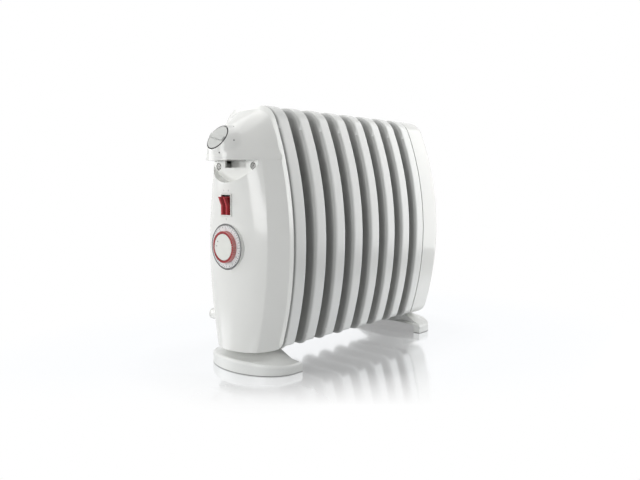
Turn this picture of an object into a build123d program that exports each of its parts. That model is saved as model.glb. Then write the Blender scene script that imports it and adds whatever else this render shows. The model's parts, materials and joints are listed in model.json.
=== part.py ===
from build123d import *
import math
import os

# Oil filled radiator heater with eight fins, a control end and two feet.
# Millimetres. X across the fins, Y along the stack with the controls facing -Y, Z up from the floor.
# The origin is on the floor, midway between the foremost and rearmost points.

# Length by which a cutting shape runs past the face that it cuts
OVERCUT = 1.0

# Fin stack
FIN_COUNT = 8
FIN_PITCH = 40.0
FLANGE_DEPTH = 22.0
FIN_HALF = 84.0
FIN_WIDEST = 175.0
FIN_TOP = 360.0
FIN_BOTTOM = 30.0
SIDE_BOW = 430.0
TOP_CORNER = 32.0
BOTTOM_CORNER = 18.0
SHEET = 1.6
BEND = 5.0
HEM = 3.0
HEM_TURN = 5.0
FLANGE_LIFT = 6.0

# Oil ducts and headers
DUCT_X = 26.0
DUCT_WIDTH = 26.0
DUCT_PROUD = 4.5
DUCT_DRAFT = 25.0
HEADER_RISE = 50.0
HEADER_DROP = 48.0
HEADER_RADIUS = 24.0
HEADER_BORE = 20.0
HEADER_PAD = 33.0
FRONT_STUB = 9.0
REAR_STUB = 12.0
CAP_FLANGE = 3.0
CAP_SPIGOT = 6.0
SPIGOT_FIT = 0.3

# Heating rods
ROD_RADIUS = 4.0
ROD_X = 8.0
ROD_Z = 9.0
ROD_REACH = 230.0
ROD_FIT = 0.1
ROD_PROUD = 6.0
PLUG_HEX = 17.0
PLUG_HEX_THICK = 7.0

# Front cover
COVER_REVEAL = 0.6
SEAM_GAP = 1.0
RIM = 3.0
FLARE = 8.0
FLARE_START = 1.5
FLARE_DEPTH = 4.0
BODY_INSET = 4.0
WALL = 3.0
SIDE_WALL = 3.9
PANEL_DEPTH = 45.0
CREASE_LOW = 29.0
CREASE_SHARE = 0.76
CREASE_ROUND = 5.0
DOME_HEIGHT = 74.0
NOSE_DEPTH = 68.0
NOSE_SHARE_X = 0.42
NOSE_SHARE_DEPTH = 0.79
DOME_END = 0.3
DOME_LEVELS = (0.0, 0.18, 0.36, 0.54, 0.70, 0.83, 0.92, 0.975, 1.0)
PANEL_SLICES = 8
CREASE_DRAW = 0.75

# Finger pocket
POCKET_HALF = 50.0
POCKET_HEIGHT = 29.5
POCKET_DEPTH = 28.0
SLOT_HALF = 22.0
SLOT_HEIGHT = 9.5
SLOT_INSET = 13.0
SLOT_WALL = 2.5
COVER_SCREW_X = 35.6
COVER_SCREW_DROP = 7.5
COVER_WELL = 5.2
COVER_WELL_DEPTH = 2.6
BOSS_RADIUS = 5.0
POST_LENGTH = 6.0

# Mounting plates
PLATE = 1.5
PLATE_INSET = 13.0
HOLE_ROOM = 1.0

# Screws
SCREW_RADIUS = 2.0
SCREW_HEAD = 4.0
SCREW_HEAD_THICK = 2.4
SCREW_FIT = 0.1
SCREW_BITE = 12.0

# Thermostat
KNOB_RISE = 29.0
KNOB_TILT = 32.0
KNOB_RADIUS = 17.6
KNOB_PROUD = 1.5
KNOB_SUNK = 6.0
KNOB_ROOM = 1.0
KNOB_GRIP = 7.0
KNOB_GRIP_PROUD = 2.0
KNOB_REST = -15.0
KNOB_LIFT = 0.5
KNOB_EDGE = 0.8
KNOB_BOSS = 3.0
KNOB_BOSS_WALL = 3.0
SHAFT_RADIUS = 3.0
SHAFT_FIT = 0.08
SHAFT_HOLE_ROOM = 0.6
SHAFT_SHARE = 0.6
THERMOSTAT_WIDTH = 30.0
THERMOSTAT_CASE = 13.0
THERMOSTAT_HEIGHT = 19.0
THERMOSTAT_DEPTH = 13.0
THERMOSTAT_SCREW_X = 11.0
THERMOSTAT_SCREW_HEAD = 3.0
THERMOSTAT_SCREW_BITE = 0.8
THERMOSTAT_EAR = 2.0
THERMOSTAT_EAR_HEIGHT = 10.0

# Rocker switch
SWITCH_DROP = 29.5
SWITCH_WIDTH = 22.0
SWITCH_HEIGHT = 30.0
SWITCH_FLANGE = 2.0
SWITCH_SEAT = 1.2
SWITCH_BODY_DEPTH = 20.0
SWITCH_BODY_EDGE = 0.9
SWITCH_PANEL_FIT = 0.3
ROCKER_WIDTH = 8.6
ROCKER_GAP = 0.3
ROCKER_DIVIDER = 0.6
ROCKER_HALF = 12.2
ROCKER_FACE = 0.6
ROCKER_BACK = 11.5
ROCKER_ANGLE = 11.0
ROCKER_SINK = 3.0
ROCKER_DRUM = 7.0
PIN_RADIUS = 1.0
PIN_FIT = 0.06
BLADE_WIDTH = 4.8
BLADE_THICK = 0.8
BLADE_LENGTH = 8.0
BLADE_PITCH = 8.5

# Timer
TIMER_DROP = 56.0
PLINTH_RADIUS = 31.2
PLINTH_PROUD = 0.6
DIAL_RADIUS = 28.6
DIAL_ROOM = 0.9
DIAL_THICK = 6.0
DIAL_PROUD = 0.4
DIAL_FLOOR = 1.5
DIAL_LIFT = 0.5
TAPPET_COUNT = 48
TAPPET_SETS = 4
TAPPET_INNER = 18.0
TAPPET_OUTER = 21.4
TAPPET_PROUD = 5.5
TAPPET_TRAVEL = 3.0
TAPPET_SHARE = 0.8
TAPPET_FIT = 0.2
TAPPET_EDGE = 0.6
CAP_THICK = 2.0
CAP_EDGE = 0.8
SPINDLE_RADIUS = 2.5
SPINDLE_FIT = 0.08
SPINDLE_LENGTH = 14.0
TIMER_BODY_RADIUS = 24.0
TIMER_BODY_DEPTH = 22.0

# Electrical parts on the front plate
BLOCK_WIDTH = 36.0
BLOCK_HEIGHT = 16.0
BLOCK_DEPTH = 14.0
BLOCK_DROP = 45.0
BLOCK_WELL = 4.0
CUTOUT_X = 34.0
CUTOUT_RISE = 9.0
CUTOUT_RADIUS = 8.0
CUTOUT_DEPTH = 9.0
WIRE_RADIUS = 1.3
WIRE_BEND = 4.0
WIRE_OFF_PLATE = 3.6
WIRE_LOOP = 13.0
CASE_WIRE_SHARE = 0.75

# Cord gland in the left side of the front cover
GLAND_RISE = 36.0
GLAND_DEPTH = 15.0
GLAND_FLANGE = 8.0
GLAND_FLANGE_THICK = 3.0
GLAND_NECK = 6.0
GLAND_BORE = 3.4
GLAND_NECK_LENGTH = 20.0
GLAND_FIT = 0.2

# Rear cover
REAR_DEPTH = 48.0
REAR_ROUND = 12.0
REAR_SCREW_X = 38.0
REAR_SCREW_Z = 195.0
REAR_WELL = 5.0
REAR_POST_LENGTH = 14.0

# Feet
FOOT_FRONT = -146.0
FOOT_REAR = 174.0
FOOT_HALF = 75.0
FOOT_REACH = 50.0
FOOT_INNER = 17.0
FOOT_CROWN = 18.5
FOOT_END = 13.0
FOOT_EDGE = 4.5
FOOT_WALL = 3.5
FOOT_LEG = 12.0
NECK_HALF = 43.0
NECK_DEPTH = 20.0
NECK_WALL = 3.0
FOOT_SCREW_X = 14.0
FOOT_SCREW_IN = 8.0
FOOT_SCREW_OUT = 11.5
FOOT_BOSS = 4.5
FOOT_BOSS_TALL = 9.0

# Worked out from the sizes above
STACK = (FIN_COUNT - 1) * FIN_PITCH + FLANGE_DEPTH
HEADER_LOW = FIN_BOTTOM + HEADER_RISE
HEADER_HIGH = FIN_TOP - HEADER_DROP
LIP_Z = FIN_TOP - DOME_HEIGHT
DOME_TOP = FIN_TOP - COVER_REVEAL - BODY_INSET
KNOB_Z = LIP_Z + KNOB_RISE
POCKET_LOW = LIP_Z - POCKET_HEIGHT
SLOT_LOW = LIP_Z - SLOT_HEIGHT
COVER_SCREW_Z = LIP_Z - COVER_SCREW_DROP
SWITCH_Z = POCKET_LOW - SWITCH_DROP
TIMER_Z = SWITCH_Z - TIMER_DROP
BLOCK_Z = TIMER_Z - BLOCK_DROP
CUTOUT_Z = SWITCH_Z + CUTOUT_RISE
GLAND_Z = FIN_BOTTOM + GLAND_RISE
KNOB_DIP = math.radians(KNOB_TILT)
NOSE_RISE = KNOB_RISE / (DOME_TOP - LIP_Z)
KNOB_NOSE = RIM + (NOSE_DEPTH - RIM) * (1 - NOSE_RISE**2)
KNOB_REACH = KNOB_NOSE + KNOB_PROUD * math.cos(KNOB_DIP) + KNOB_RADIUS * math.sin(KNOB_DIP)
FRONT_REACH = STACK / 2 + SEAM_GAP + KNOB_REACH
REAR_REACH = FOOT_REAR + FOOT_REACH
MID_Y = (FRONT_REACH - REAR_REACH) / 2
FIRST_FIN = MID_Y - STACK / 2
LAST_FIN = FIRST_FIN + (FIN_COUNT - 1) * FIN_PITCH
FRONT_SEAM = FIRST_FIN - SEAM_GAP
REAR_SEAM = LAST_FIN + FLANGE_DEPTH + SEAM_GAP
FRONT_PLATE = FIRST_FIN - DUCT_PROUD
REAR_PLATE = LAST_FIN + SHEET + DUCT_PROUD
PLATE_FRONT = FRONT_PLATE - PLATE
STUB_FACE = FIRST_FIN - FRONT_STUB
REAR_STUB_FACE = LAST_FIN + SHEET + REAR_STUB
PANEL_Y = FRONT_SEAM - PANEL_DEPTH
POCKET_Y = FRONT_SEAM - POCKET_DEPTH
COVER_SCREW_Y = POCKET_Y + COVER_WELL_DEPTH
FRONT_POST = PLATE_FRONT - POST_LENGTH
REAR_POST = REAR_PLATE + PLATE + REAR_POST_LENGTH
KNOB_PLANE = Plane(
    (0, FRONT_SEAM - KNOB_NOSE, KNOB_Z),
    x_dir=(1, 0, 0),
    z_dir=(0, -math.cos(KNOB_DIP), math.sin(KNOB_DIP)),
)
DIAL_FRONT = PANEL_Y - PLINTH_PROUD - DIAL_PROUD
WELL_Y = DIAL_FRONT + DIAL_THICK + DIAL_LIFT
SWITCH_SEAT_Y = PANEL_Y + SWITCH_SEAT
SWITCH_FRONT = SWITCH_SEAT_Y - SWITCH_FLANGE
ROCKER_TURN = math.radians(ROCKER_ANGLE)
ROCKER_AXIS_Y = SWITCH_FRONT + ROCKER_SINK
ROCKER_X = ROCKER_DIVIDER / 2 + ROCKER_GAP + ROCKER_WIDTH / 2
ROCKER_END = ROCKER_SINK + ROCKER_FACE + ROCKER_HALF * math.tan(ROCKER_TURN)
ROCKER_WINDOW = ROCKER_HALF * math.cos(ROCKER_TURN) + ROCKER_END * math.sin(ROCKER_TURN) + ROCKER_GAP
PIN_HALF = SWITCH_WIDTH / 2 - SWITCH_BODY_EDGE - PIN_FIT
GLAND_Y = FRONT_SEAM - GLAND_DEPTH
FRONT_FOOT_SCREW = MID_Y + FOOT_FRONT - FOOT_SCREW_OUT
REAR_FOOT_SCREW = MID_Y + FOOT_REAR - FOOT_SCREW_IN
REAR_BOTTOM = FIN_BOTTOM + COVER_REVEAL


def upright(x, y, z):
    """Sketch plane facing +Y, with its own x along X."""
    return Plane((x, y, z), x_dir=(1, 0, 0), z_dir=(0, 1, 0))


def facing(y):
    """Sketch plane facing -Y, where sketch x is X and sketch y is Z."""
    return Plane((0, y, 0), x_dir=(1, 0, 0), z_dir=(0, -1, 0))


def bar(x, z, radius, start, end):
    """Round bar along Y."""
    return extrude(upright(x, start, z) * Circle(radius), end - start)


def block(x, y, z):
    """Box between two corners, each given as (low, high)."""
    centre = Pos((x[0] + x[1]) / 2, (y[0] + y[1]) / 2, (z[0] + z[1]) / 2)
    return centre * Box(x[1] - x[0], y[1] - y[0], z[1] - z[0])


def side_half(z, inset):
    """Half width of the bowed side at a height."""
    return FIN_HALF - SIDE_BOW + math.sqrt((SIDE_BOW - inset) ** 2 - (z - FIN_WIDEST) ** 2)


def corner_centre():
    """Centre (x, z) of the rounded top corner."""
    z = FIN_TOP - TOP_CORNER
    x = FIN_HALF - SIDE_BOW + math.sqrt((SIDE_BOW - TOP_CORNER) ** 2 - (z - FIN_WIDEST) ** 2)
    return x, z


def half_width(z, inset):
    """Half width of the outline, with its top corners, at a height."""
    x, corner_z = corner_centre()
    tangent_z = FIN_WIDEST + (SIDE_BOW - inset) * (corner_z - FIN_WIDEST) / (SIDE_BOW - TOP_CORNER)
    if z < tangent_z:
        return side_half(z, inset)
    return x + math.sqrt((TOP_CORNER - inset) ** 2 - (z - corner_z) ** 2)


def outline(inset):
    """The fin's outline seen from the end, drawn in by an inset."""
    low = FIN_BOTTOM + inset
    high = FIN_TOP - inset
    foot = side_half(low, inset)
    head = side_half(high, inset)
    belly = FIN_HALF - inset
    edges = [
        Line((-foot, low), (foot, low)),
        ThreePointArc((foot, low), (belly, FIN_WIDEST), (head, high)),
        Line((head, high), (-head, high)),
        ThreePointArc((-head, high), (-belly, FIN_WIDEST), (-foot, low)),
    ]
    face = make_face(edges)
    face = fillet(face.vertices().group_by(Axis.Y)[-1], TOP_CORNER - inset)
    return fillet(face.vertices().group_by(Axis.Y)[0], max(BOTTOM_CORNER - inset, HEM))


def duct_pattern(start, away):
    """Raised oil ducts and header pads on one face of a web; away is +1 or -1 along Y."""
    plane = Plane((0, start, 0), x_dir=(1, 0, 0), z_dir=(0, away, 0))
    flip = -away
    duct_length = HEADER_HIGH - HEADER_LOW + DUCT_WIDTH
    middle = (HEADER_HIGH + HEADER_LOW) / 2
    raised = Part()
    for x in (-DUCT_X, DUCT_X):
        stadium = Pos(x, flip * middle) * Rot(0, 0, 90) * SlotOverall(duct_length, DUCT_WIDTH)
        raised += extrude(plane * stadium, DUCT_PROUD, taper=DUCT_DRAFT)
    for z in (HEADER_LOW, HEADER_HIGH):
        raised += extrude(plane * Pos(0, flip * z) * Circle(HEADER_PAD), DUCT_PROUD, taper=DUCT_DRAFT)
    return raised


def pan_body(start, inset):
    """Fin's pan as a solid with a round bend in front and a round hem behind, drawn in by an inset."""
    body = extrude(facing(start + FLANGE_DEPTH - inset) * outline(inset), FLANGE_DEPTH - 2 * inset)
    body = fillet(body.faces().sort_by(Axis.Y)[0].edges(), BEND - inset)
    return fillet(body.faces().sort_by(Axis.Y)[-1].edges(), HEM - inset)


def fin(number):
    """One pressed fin: pan with a turned-in hem, ducts on both faces and header hubs."""
    start = FIRST_FIN + number * FIN_PITCH
    end = start + FLANGE_DEPTH
    pan = pan_body(start, 0) - pan_body(start, SHEET)
    pan -= extrude(facing(end + OVERCUT) * outline(HEM_TURN), OVERCUT + HEM)
    pan -= block((-FIN_HALF, FIN_HALF), (start + BEND, end + OVERCUT), (0, FIN_BOTTOM + FLANGE_LIFT))
    pan += duct_pattern(start, -1)
    pan += duct_pattern(start + SHEET, 1)
    middle = start + SHEET / 2
    front = STUB_FACE if number == 0 else middle - FIN_PITCH / 2
    rear = REAR_STUB_FACE if number == FIN_COUNT - 1 else middle + FIN_PITCH / 2
    for z in (HEADER_LOW, HEADER_HIGH):
        pan += bar(0, z, HEADER_RADIUS, front, rear)
    for z in (HEADER_LOW, HEADER_HIGH):
        pan -= bar(0, z, HEADER_BORE, front - OVERCUT, rear + OVERCUT)
    return pan


def header_cap(z, face, outward):
    """Flanged cap that closes a header; outward is the way out along Y."""
    flange = bar(0, z, HEADER_RADIUS, *sorted((face, face + outward * CAP_FLANGE)))
    spigot = bar(0, z, HEADER_BORE - SPIGOT_FIT, *sorted((face, face - outward * CAP_SPIGOT)))
    return flange + spigot


def filler_plug():
    """Rear cap of the lower header with a square filler bung."""
    bung_face = REAR_STUB_FACE + CAP_FLANGE
    bung = extrude(upright(0, bung_face, HEADER_LOW) * Rectangle(PLUG_HEX, PLUG_HEX), PLUG_HEX_THICK / 2)
    return header_cap(HEADER_LOW, REAR_STUB_FACE, 1) + bung


def rod_places():
    return [(x, HEADER_LOW + dz) for x in (-ROD_X, ROD_X) for dz in (-ROD_Z, ROD_Z)]


def heater_plug():
    """Hexagon plug that carries the heating rods in the lower header."""
    plug = header_cap(HEADER_LOW, STUB_FACE, -1)
    hex_start = STUB_FACE - CAP_FLANGE - PLUG_HEX_THICK
    plug += extrude(upright(0, hex_start, HEADER_LOW) * RegularPolygon(PLUG_HEX, 6), PLUG_HEX_THICK)
    for x, z in rod_places():
        plug -= bar(x, z, ROD_RADIUS + ROD_FIT, hex_start - OVERCUT, STUB_FACE + CAP_SPIGOT + OVERCUT)
    return plug


def heating_rod(x):
    """Hairpin rod through the plug and along the lower header."""
    start = STUB_FACE - CAP_FLANGE - PLUG_HEX_THICK - ROD_PROUD
    end = STUB_FACE + ROD_REACH
    low = HEADER_LOW - ROD_Z
    high = HEADER_LOW + ROD_Z
    path = Wire([
        Line((x, start, low), (x, end, low)),
        ThreePointArc((x, end, low), (x, end + ROD_Z, HEADER_LOW), (x, end, high)),
        Line((x, end, high), (x, start, high)),
    ])
    return sweep(upright(x, start, low) * Circle(ROD_RADIUS), path)


def screw(x, z, seat, toward, length):
    """Pan head screw along Y; the head sits on seat and the shank goes toward."""
    head = bar(x, z, SCREW_HEAD, *sorted((seat, seat - toward * SCREW_HEAD_THICK)))
    head = fillet(head.faces().sort_by(Axis.Y)[-1 if toward < 0 else 0].edges(), SCREW_HEAD_THICK / 2)
    return head + bar(x, z, SCREW_RADIUS, *sorted((seat, seat + toward * length)))


def mounting_plate(face, outward, posts, post_end):
    """Sheet steel plate on the duct faces, with a post for each cover screw."""
    back = face + outward * PLATE
    plate = extrude(facing(max(face, back)) * outline(PLATE_INSET), PLATE)
    near = face - outward * OVERCUT
    for z in (HEADER_LOW, HEADER_HIGH):
        plate -= bar(0, z, HEADER_RADIUS + HOLE_ROOM, *sorted((near, back + outward * OVERCUT)))
    for x, z in posts:
        plate += bar(x, z, BOSS_RADIUS, *sorted((back, post_end)))
    for x, z in posts:
        plate -= bar(x, z, SCREW_RADIUS + SCREW_FIT, *sorted((near, post_end + outward * OVERCUT)))
    return plate


def cover_slice(z, half, join_x, join_depth, depth, back, rounding=0):
    """Level slice of the front cover: seam, rims, bevels and the front arc, its joins rounded."""
    rear = FRONT_SEAM + back
    rim = FRONT_SEAM - RIM
    join = FRONT_SEAM - join_depth
    edges = [
        Line((-half, rear), (half, rear)),
        Line((half, rear), (half, rim)),
        Line((half, rim), (join_x, join)),
        ThreePointArc((join_x, join), (0, FRONT_SEAM - depth), (-join_x, join)),
        Line((-join_x, join), (-half, rim)),
        Line((-half, rim), (-half, rear)),
    ]
    face = make_face(edges)
    if rounding:
        face = fillet(face.vertices().group_by(Axis.Y)[0], rounding)
    return Plane.XY.offset(z) * face


def bevel_slope():
    """How far the bevel comes in for each millimetre of depth at the lip."""
    half = side_half(LIP_Z, COVER_REVEAL + BODY_INSET)
    return half * (1 - NOSE_SHARE_X) / (NOSE_SHARE_DEPTH * (NOSE_DEPTH - RIM))


def crease_depth(z):
    """Depth of the crease between bevel and panel: on the dome's bevel at the lip, deeper below."""
    half = side_half(LIP_Z, COVER_REVEAL + BODY_INSET)
    at_lip = RIM + half * (1 - CREASE_SHARE) / bevel_slope()
    return at_lip + (CREASE_LOW - at_lip) * (LIP_Z - z) / (LIP_Z - FIN_BOTTOM)


def panel_body(low, high, side, wall, back):
    """Lower housing: bevelled sides and a bowed control panel, drawn in by a wall."""
    slices = []
    for step in range(PANEL_SLICES + 1):
        z = low + (high - low) * step / PANEL_SLICES
        half = side_half(z, COVER_REVEAL + BODY_INSET + side)
        crease = crease_depth(z) - CREASE_DRAW * wall
        depth = PANEL_DEPTH - wall
        slices.append(cover_slice(z, half, half * CREASE_SHARE, crease, depth, back, CREASE_ROUND))
    return loft(slices)


def dome_body(low, side, wall, back):
    """Dome from a level above the lip to the top of the seam, with a parabola for its nose."""
    top = DOME_TOP - side
    slices = []
    for level in DOME_LEVELS:
        z = low + (top - DOME_END - low) * level
        half = half_width(z, COVER_REVEAL + BODY_INSET + side)
        rise = (z - LIP_Z) / (top - LIP_Z)
        depth = RIM + (NOSE_DEPTH - wall - RIM) * (1 - rise**2)
        join_depth = RIM + (depth - RIM) * NOSE_SHARE_DEPTH
        slices.append(cover_slice(z, half, half * NOSE_SHARE_X, join_depth, depth, back))
    return loft(slices)


def cover_rim():
    """Band round the seam of the front cover, flaring out to the fins' outline."""
    seam = facing(FRONT_SEAM) * outline(COVER_REVEAL)
    edge = facing(FRONT_SEAM - FLARE_START) * outline(COVER_REVEAL)
    end = facing(FRONT_SEAM - FLARE_START - FLARE_DEPTH) * outline(COVER_REVEAL + FLARE)
    return extrude(seam, FLARE_START) + loft([edge, end])


def gland_plane():
    """Seat of the cord's bush, just clear of the bevelled side."""
    half = side_half(GLAND_Z + GLAND_FLANGE, COVER_REVEAL + BODY_INSET)
    return Plane((-half, GLAND_Y, GLAND_Z), x_dir=(0, 1, 0), z_dir=(1, 0, 0))


def pocket(wall, back):
    """Finger pocket below the lip: a smile-shaped recess, grown by a wall."""
    ends = POCKET_HALF + wall
    arc = ThreePointArc((-ends, LIP_Z), (0, POCKET_LOW - wall), (ends, LIP_Z))
    smile = make_face([arc, Line((ends, LIP_Z), (-ends, LIP_Z))])
    return extrude(facing(back) * smile, PANEL_DEPTH)


def knob_bar(radius, low, high):
    """Round bar along the knob's axis, between two heights over the dome's surface."""
    return extrude(KNOB_PLANE.offset(low) * Circle(radius), high - low)


def post(x, y, radius, low, high):
    """Round upright."""
    return Pos(x, y, (low + high) / 2) * Cylinder(radius, high - low)


def front_screw_places():
    return [(x, COVER_SCREW_Z) for x in (-COVER_SCREW_X, COVER_SCREW_X)]


def front_blocks():
    """What stands inside the front cover: pocket walls, seats and screw bosses."""
    blocks = pocket(WALL, POCKET_Y + WALL)
    ceiling = (LIP_Z - WALL, LIP_Z + WALL)
    blocks += block((-POCKET_HALF, POCKET_HALF), (PANEL_Y - WALL, POCKET_Y + WALL), ceiling)
    slot_x = SLOT_HALF + SLOT_WALL
    slot_y = POCKET_Y + SLOT_INSET + SLOT_WALL
    blocks += block((-slot_x, slot_x), (POCKET_Y, slot_y), (SLOT_LOW - SLOT_WALL, LIP_Z + WALL))
    blocks += knob_bar(KNOB_RADIUS + KNOB_ROOM + KNOB_BOSS_WALL, -KNOB_SUNK - KNOB_BOSS, 0)
    blocks += bar(0, TIMER_Z, PLINTH_RADIUS, PANEL_Y, WELL_Y + WALL)
    for x, z in front_screw_places():
        blocks += bar(x, z, COVER_WELL + SLOT_WALL, POCKET_Y, FRONT_POST)
    for x in (-FOOT_SCREW_X, FOOT_SCREW_X):
        blocks += post(x, FRONT_FOOT_SCREW, FOOT_BOSS, FIN_BOTTOM, FIN_BOTTOM + WALL + FOOT_BOSS_TALL)
    return blocks


def front_cover():
    """Moulded control housing: bevelled sides, bowed panel, dome with a carrying lip."""
    shell = panel_body(FIN_BOTTOM, LIP_Z, 0, 0, 0)
    shell &= extrude(facing(FRONT_SEAM) * outline(0), NOSE_DEPTH)
    shell += dome_body(LIP_Z, 0, 0, 0)
    shell += cover_rim()
    shell += bar(0, TIMER_Z, PLINTH_RADIUS, PANEL_Y - PLINTH_PROUD, WELL_Y)
    gland = gland_plane()
    shell += extrude(gland * Circle(GLAND_FLANGE), GLAND_NECK_LENGTH)
    cavity = panel_body(FIN_BOTTOM + WALL, LIP_Z + 2 * WALL, SIDE_WALL, WALL, SEAM_GAP)
    cavity += dome_body(LIP_Z + WALL, SIDE_WALL, WALL, SEAM_GAP)
    shell -= cavity - front_blocks()
    shell -= pocket(0, POCKET_Y)
    slot_back = POCKET_Y + SLOT_INSET
    shell -= block((-SLOT_HALF, SLOT_HALF), (POCKET_Y - OVERCUT, slot_back), (SLOT_LOW, LIP_Z))
    slot_end = SLOT_HALF + SLOT_WALL + OVERCUT
    shell -= block((-slot_end, slot_end), (POCKET_Y + WALL, slot_back), (SLOT_LOW, LIP_Z))
    shell -= knob_bar(KNOB_RADIUS + KNOB_ROOM, -KNOB_SUNK, NOSE_DEPTH)
    shell -= knob_bar(SHAFT_RADIUS + SHAFT_HOLE_ROOM, -KNOB_SUNK - 2 * KNOB_BOSS, 0)
    for x in (-THERMOSTAT_SCREW_X, THERMOSTAT_SCREW_X):
        hole = KNOB_PLANE.offset(-KNOB_SUNK - KNOB_BOSS) * Pos(x, 0) * Circle(SCREW_RADIUS + SCREW_FIT)
        shell -= extrude(hole, KNOB_BOSS * THERMOSTAT_SCREW_BITE)
    shell -= bar(0, TIMER_Z, DIAL_RADIUS + DIAL_ROOM, PANEL_Y - PLINTH_PROUD - OVERCUT, WELL_Y)
    shell -= bar(0, TIMER_Z, SPINDLE_RADIUS + SHAFT_HOLE_ROOM, WELL_Y - OVERCUT, WELL_Y + 2 * WALL)
    seat_x = SWITCH_WIDTH / 2 + SWITCH_PANEL_FIT
    seat_z = SWITCH_HEIGHT / 2 + SWITCH_PANEL_FIT
    heights = (SWITCH_Z - seat_z, SWITCH_Z + seat_z)
    shell -= block((-seat_x, seat_x), (PANEL_Y - OVERCUT, SWITCH_SEAT_Y), heights)
    window_x = seat_x - SWITCH_BODY_EDGE
    window_z = seat_z - SWITCH_BODY_EDGE
    heights = (SWITCH_Z - window_z, SWITCH_Z + window_z)
    shell -= block((-window_x, window_x), (PANEL_Y - OVERCUT, SWITCH_SEAT_Y + 2 * WALL), heights)
    for x, z in front_screw_places():
        shell -= bar(x, z, COVER_WELL, POCKET_Y - OVERCUT, COVER_SCREW_Y)
        shell -= bar(x, z, SCREW_RADIUS + SCREW_FIT, POCKET_Y - OVERCUT, FRONT_POST + OVERCUT)
    shell -= extrude(gland.offset(-OVERCUT) * Circle(GLAND_NECK + GLAND_FIT), GLAND_NECK_LENGTH * 2)
    for x in (-FOOT_SCREW_X, FOOT_SCREW_X):
        top = FIN_BOTTOM + WALL + FOOT_BOSS_TALL
        shell -= post(x, FRONT_FOOT_SCREW, SCREW_RADIUS + SCREW_FIT, FIN_BOTTOM - OVERCUT, top + OVERCUT)
    return shell


def rear_screw_places():
    return [(x, REAR_SCREW_Z) for x in (-REAR_SCREW_X, REAR_SCREW_X)]


def rear_body(wall):
    """Rear housing as a solid with rounded edges, drawn in by a wall."""
    depth = REAR_DEPTH - wall
    body = extrude(facing(REAR_SEAM + depth) * outline(COVER_REVEAL + wall), depth)
    return fillet(body.faces().sort_by(Axis.Y)[-1].edges(), REAR_ROUND - wall)


def rear_cover():
    """Deep rear housing with two sunk screw wells and bosses for the foot."""
    end = REAR_SEAM + REAR_DEPTH
    shell = rear_body(0) - rear_body(WALL)
    for x, z in rear_screw_places():
        shell += bar(x, z, REAR_WELL + WALL, REAR_POST, end - WALL)
        shell -= bar(x, z, REAR_WELL, REAR_POST + WALL, end + OVERCUT)
        shell -= bar(x, z, SCREW_RADIUS + SCREW_FIT, REAR_POST - OVERCUT, end)
    top = REAR_BOTTOM + WALL + FOOT_BOSS_TALL
    for x in (-FOOT_SCREW_X, FOOT_SCREW_X):
        shell += post(x, REAR_FOOT_SCREW, FOOT_BOSS, REAR_BOTTOM + WALL / 2, top)
    for x in (-FOOT_SCREW_X, FOOT_SCREW_X):
        shell -= post(x, REAR_FOOT_SCREW, SCREW_RADIUS + SCREW_FIT, 0, top + OVERCUT)
    return shell


def foot_plan(centre, outward, half, reach, inner):
    """Plan of a foot: half an ellipse outward and a straight strip on the inner side."""
    oval = Ellipse(half, reach) & (Pos(0, outward * reach / 2) * Rectangle(2 * half, reach))
    strip = Pos(0, -outward * inner / 2) * Rectangle(2 * half, inner)
    return Pos(0, centre) * (oval + strip)


def crown(drop):
    """Space below the foot's crowned top, lowered by a drop."""
    width = FOOT_HALF + FOOT_WALL
    edges = [
        Line((-width, -FOOT_WALL), (width, -FOOT_WALL)),
        Line((width, -FOOT_WALL), (width, FOOT_END - drop)),
        ThreePointArc((width, FOOT_END - drop), (0, FOOT_CROWN - drop), (-width, FOOT_END - drop)),
        Line((-width, FOOT_END - drop), (-width, -FOOT_WALL)),
    ]
    return make_face(edges)


def foot(centre, outward, screw_y, seat):
    """Arched foot, open below and on its inner side, with a neck up to its seat on the body."""
    reach = FOOT_REACH + FOOT_INNER
    prism = extrude(facing(centre + reach) * crown(0), 2 * reach)
    body = extrude(foot_plan(centre, outward, FOOT_HALF, FOOT_REACH, FOOT_INNER), FOOT_CROWN) & prism
    top = body.faces().sort_by(Axis.Z)[-1]
    body = fillet(top.edges(), FOOT_EDGE)
    neck = Pos(0, centre, FOOT_WALL) * Ellipse(NECK_HALF, NECK_DEPTH)
    body += extrude(neck, seat - FOOT_WALL)
    under = extrude(facing(centre + reach) * crown(FOOT_WALL), 2 * reach)
    room = foot_plan(centre, outward, FOOT_HALF - FOOT_LEG, FOOT_REACH - FOOT_WALL, reach)
    body -= extrude(room, FOOT_CROWN) & under
    hollow = Ellipse(NECK_HALF - NECK_WALL, NECK_DEPTH - NECK_WALL)
    body -= Pos(0, centre, 0) * extrude(hollow, seat - NECK_WALL)
    for x in (-FOOT_SCREW_X, FOOT_SCREW_X):
        body -= post(x, screw_y, SCREW_RADIUS + SCREW_FIT, 0, seat + OVERCUT)
    return body


def foot_screw(x, y, seat):
    """Upright screw that holds a foot, its head under the neck's top wall."""
    under = seat - NECK_WALL
    top = seat + WALL + FOOT_BOSS_TALL - SCREW_FIT
    return post(x, y, SCREW_HEAD, under - SCREW_HEAD_THICK, under) + post(x, y, SCREW_RADIUS, under, top)


def thermostat_knob():
    """Round knob with a raised grip bar across its face."""
    low = KNOB_LIFT - KNOB_SUNK
    knob = knob_bar(KNOB_RADIUS, low, KNOB_PROUD)
    knob = fillet(knob.faces().sort_by(SortBy.AREA)[-1].edges(), KNOB_EDGE)
    grip = Rectangle(2 * KNOB_RADIUS, KNOB_GRIP) & Circle(KNOB_RADIUS - KNOB_EDGE)
    top = KNOB_PLANE.offset(KNOB_PROUD) * Rot(0, 0, KNOB_REST)
    knob += extrude(top * grip, KNOB_GRIP_PROUD, taper=DUCT_DRAFT)
    return knob


def thermostat_shaft():
    low = -KNOB_SUNK - KNOB_BOSS - THERMOSTAT_DEPTH * SHAFT_SHARE
    return knob_bar(SHAFT_RADIUS, low, KNOB_LIFT - KNOB_SUNK)


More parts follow.
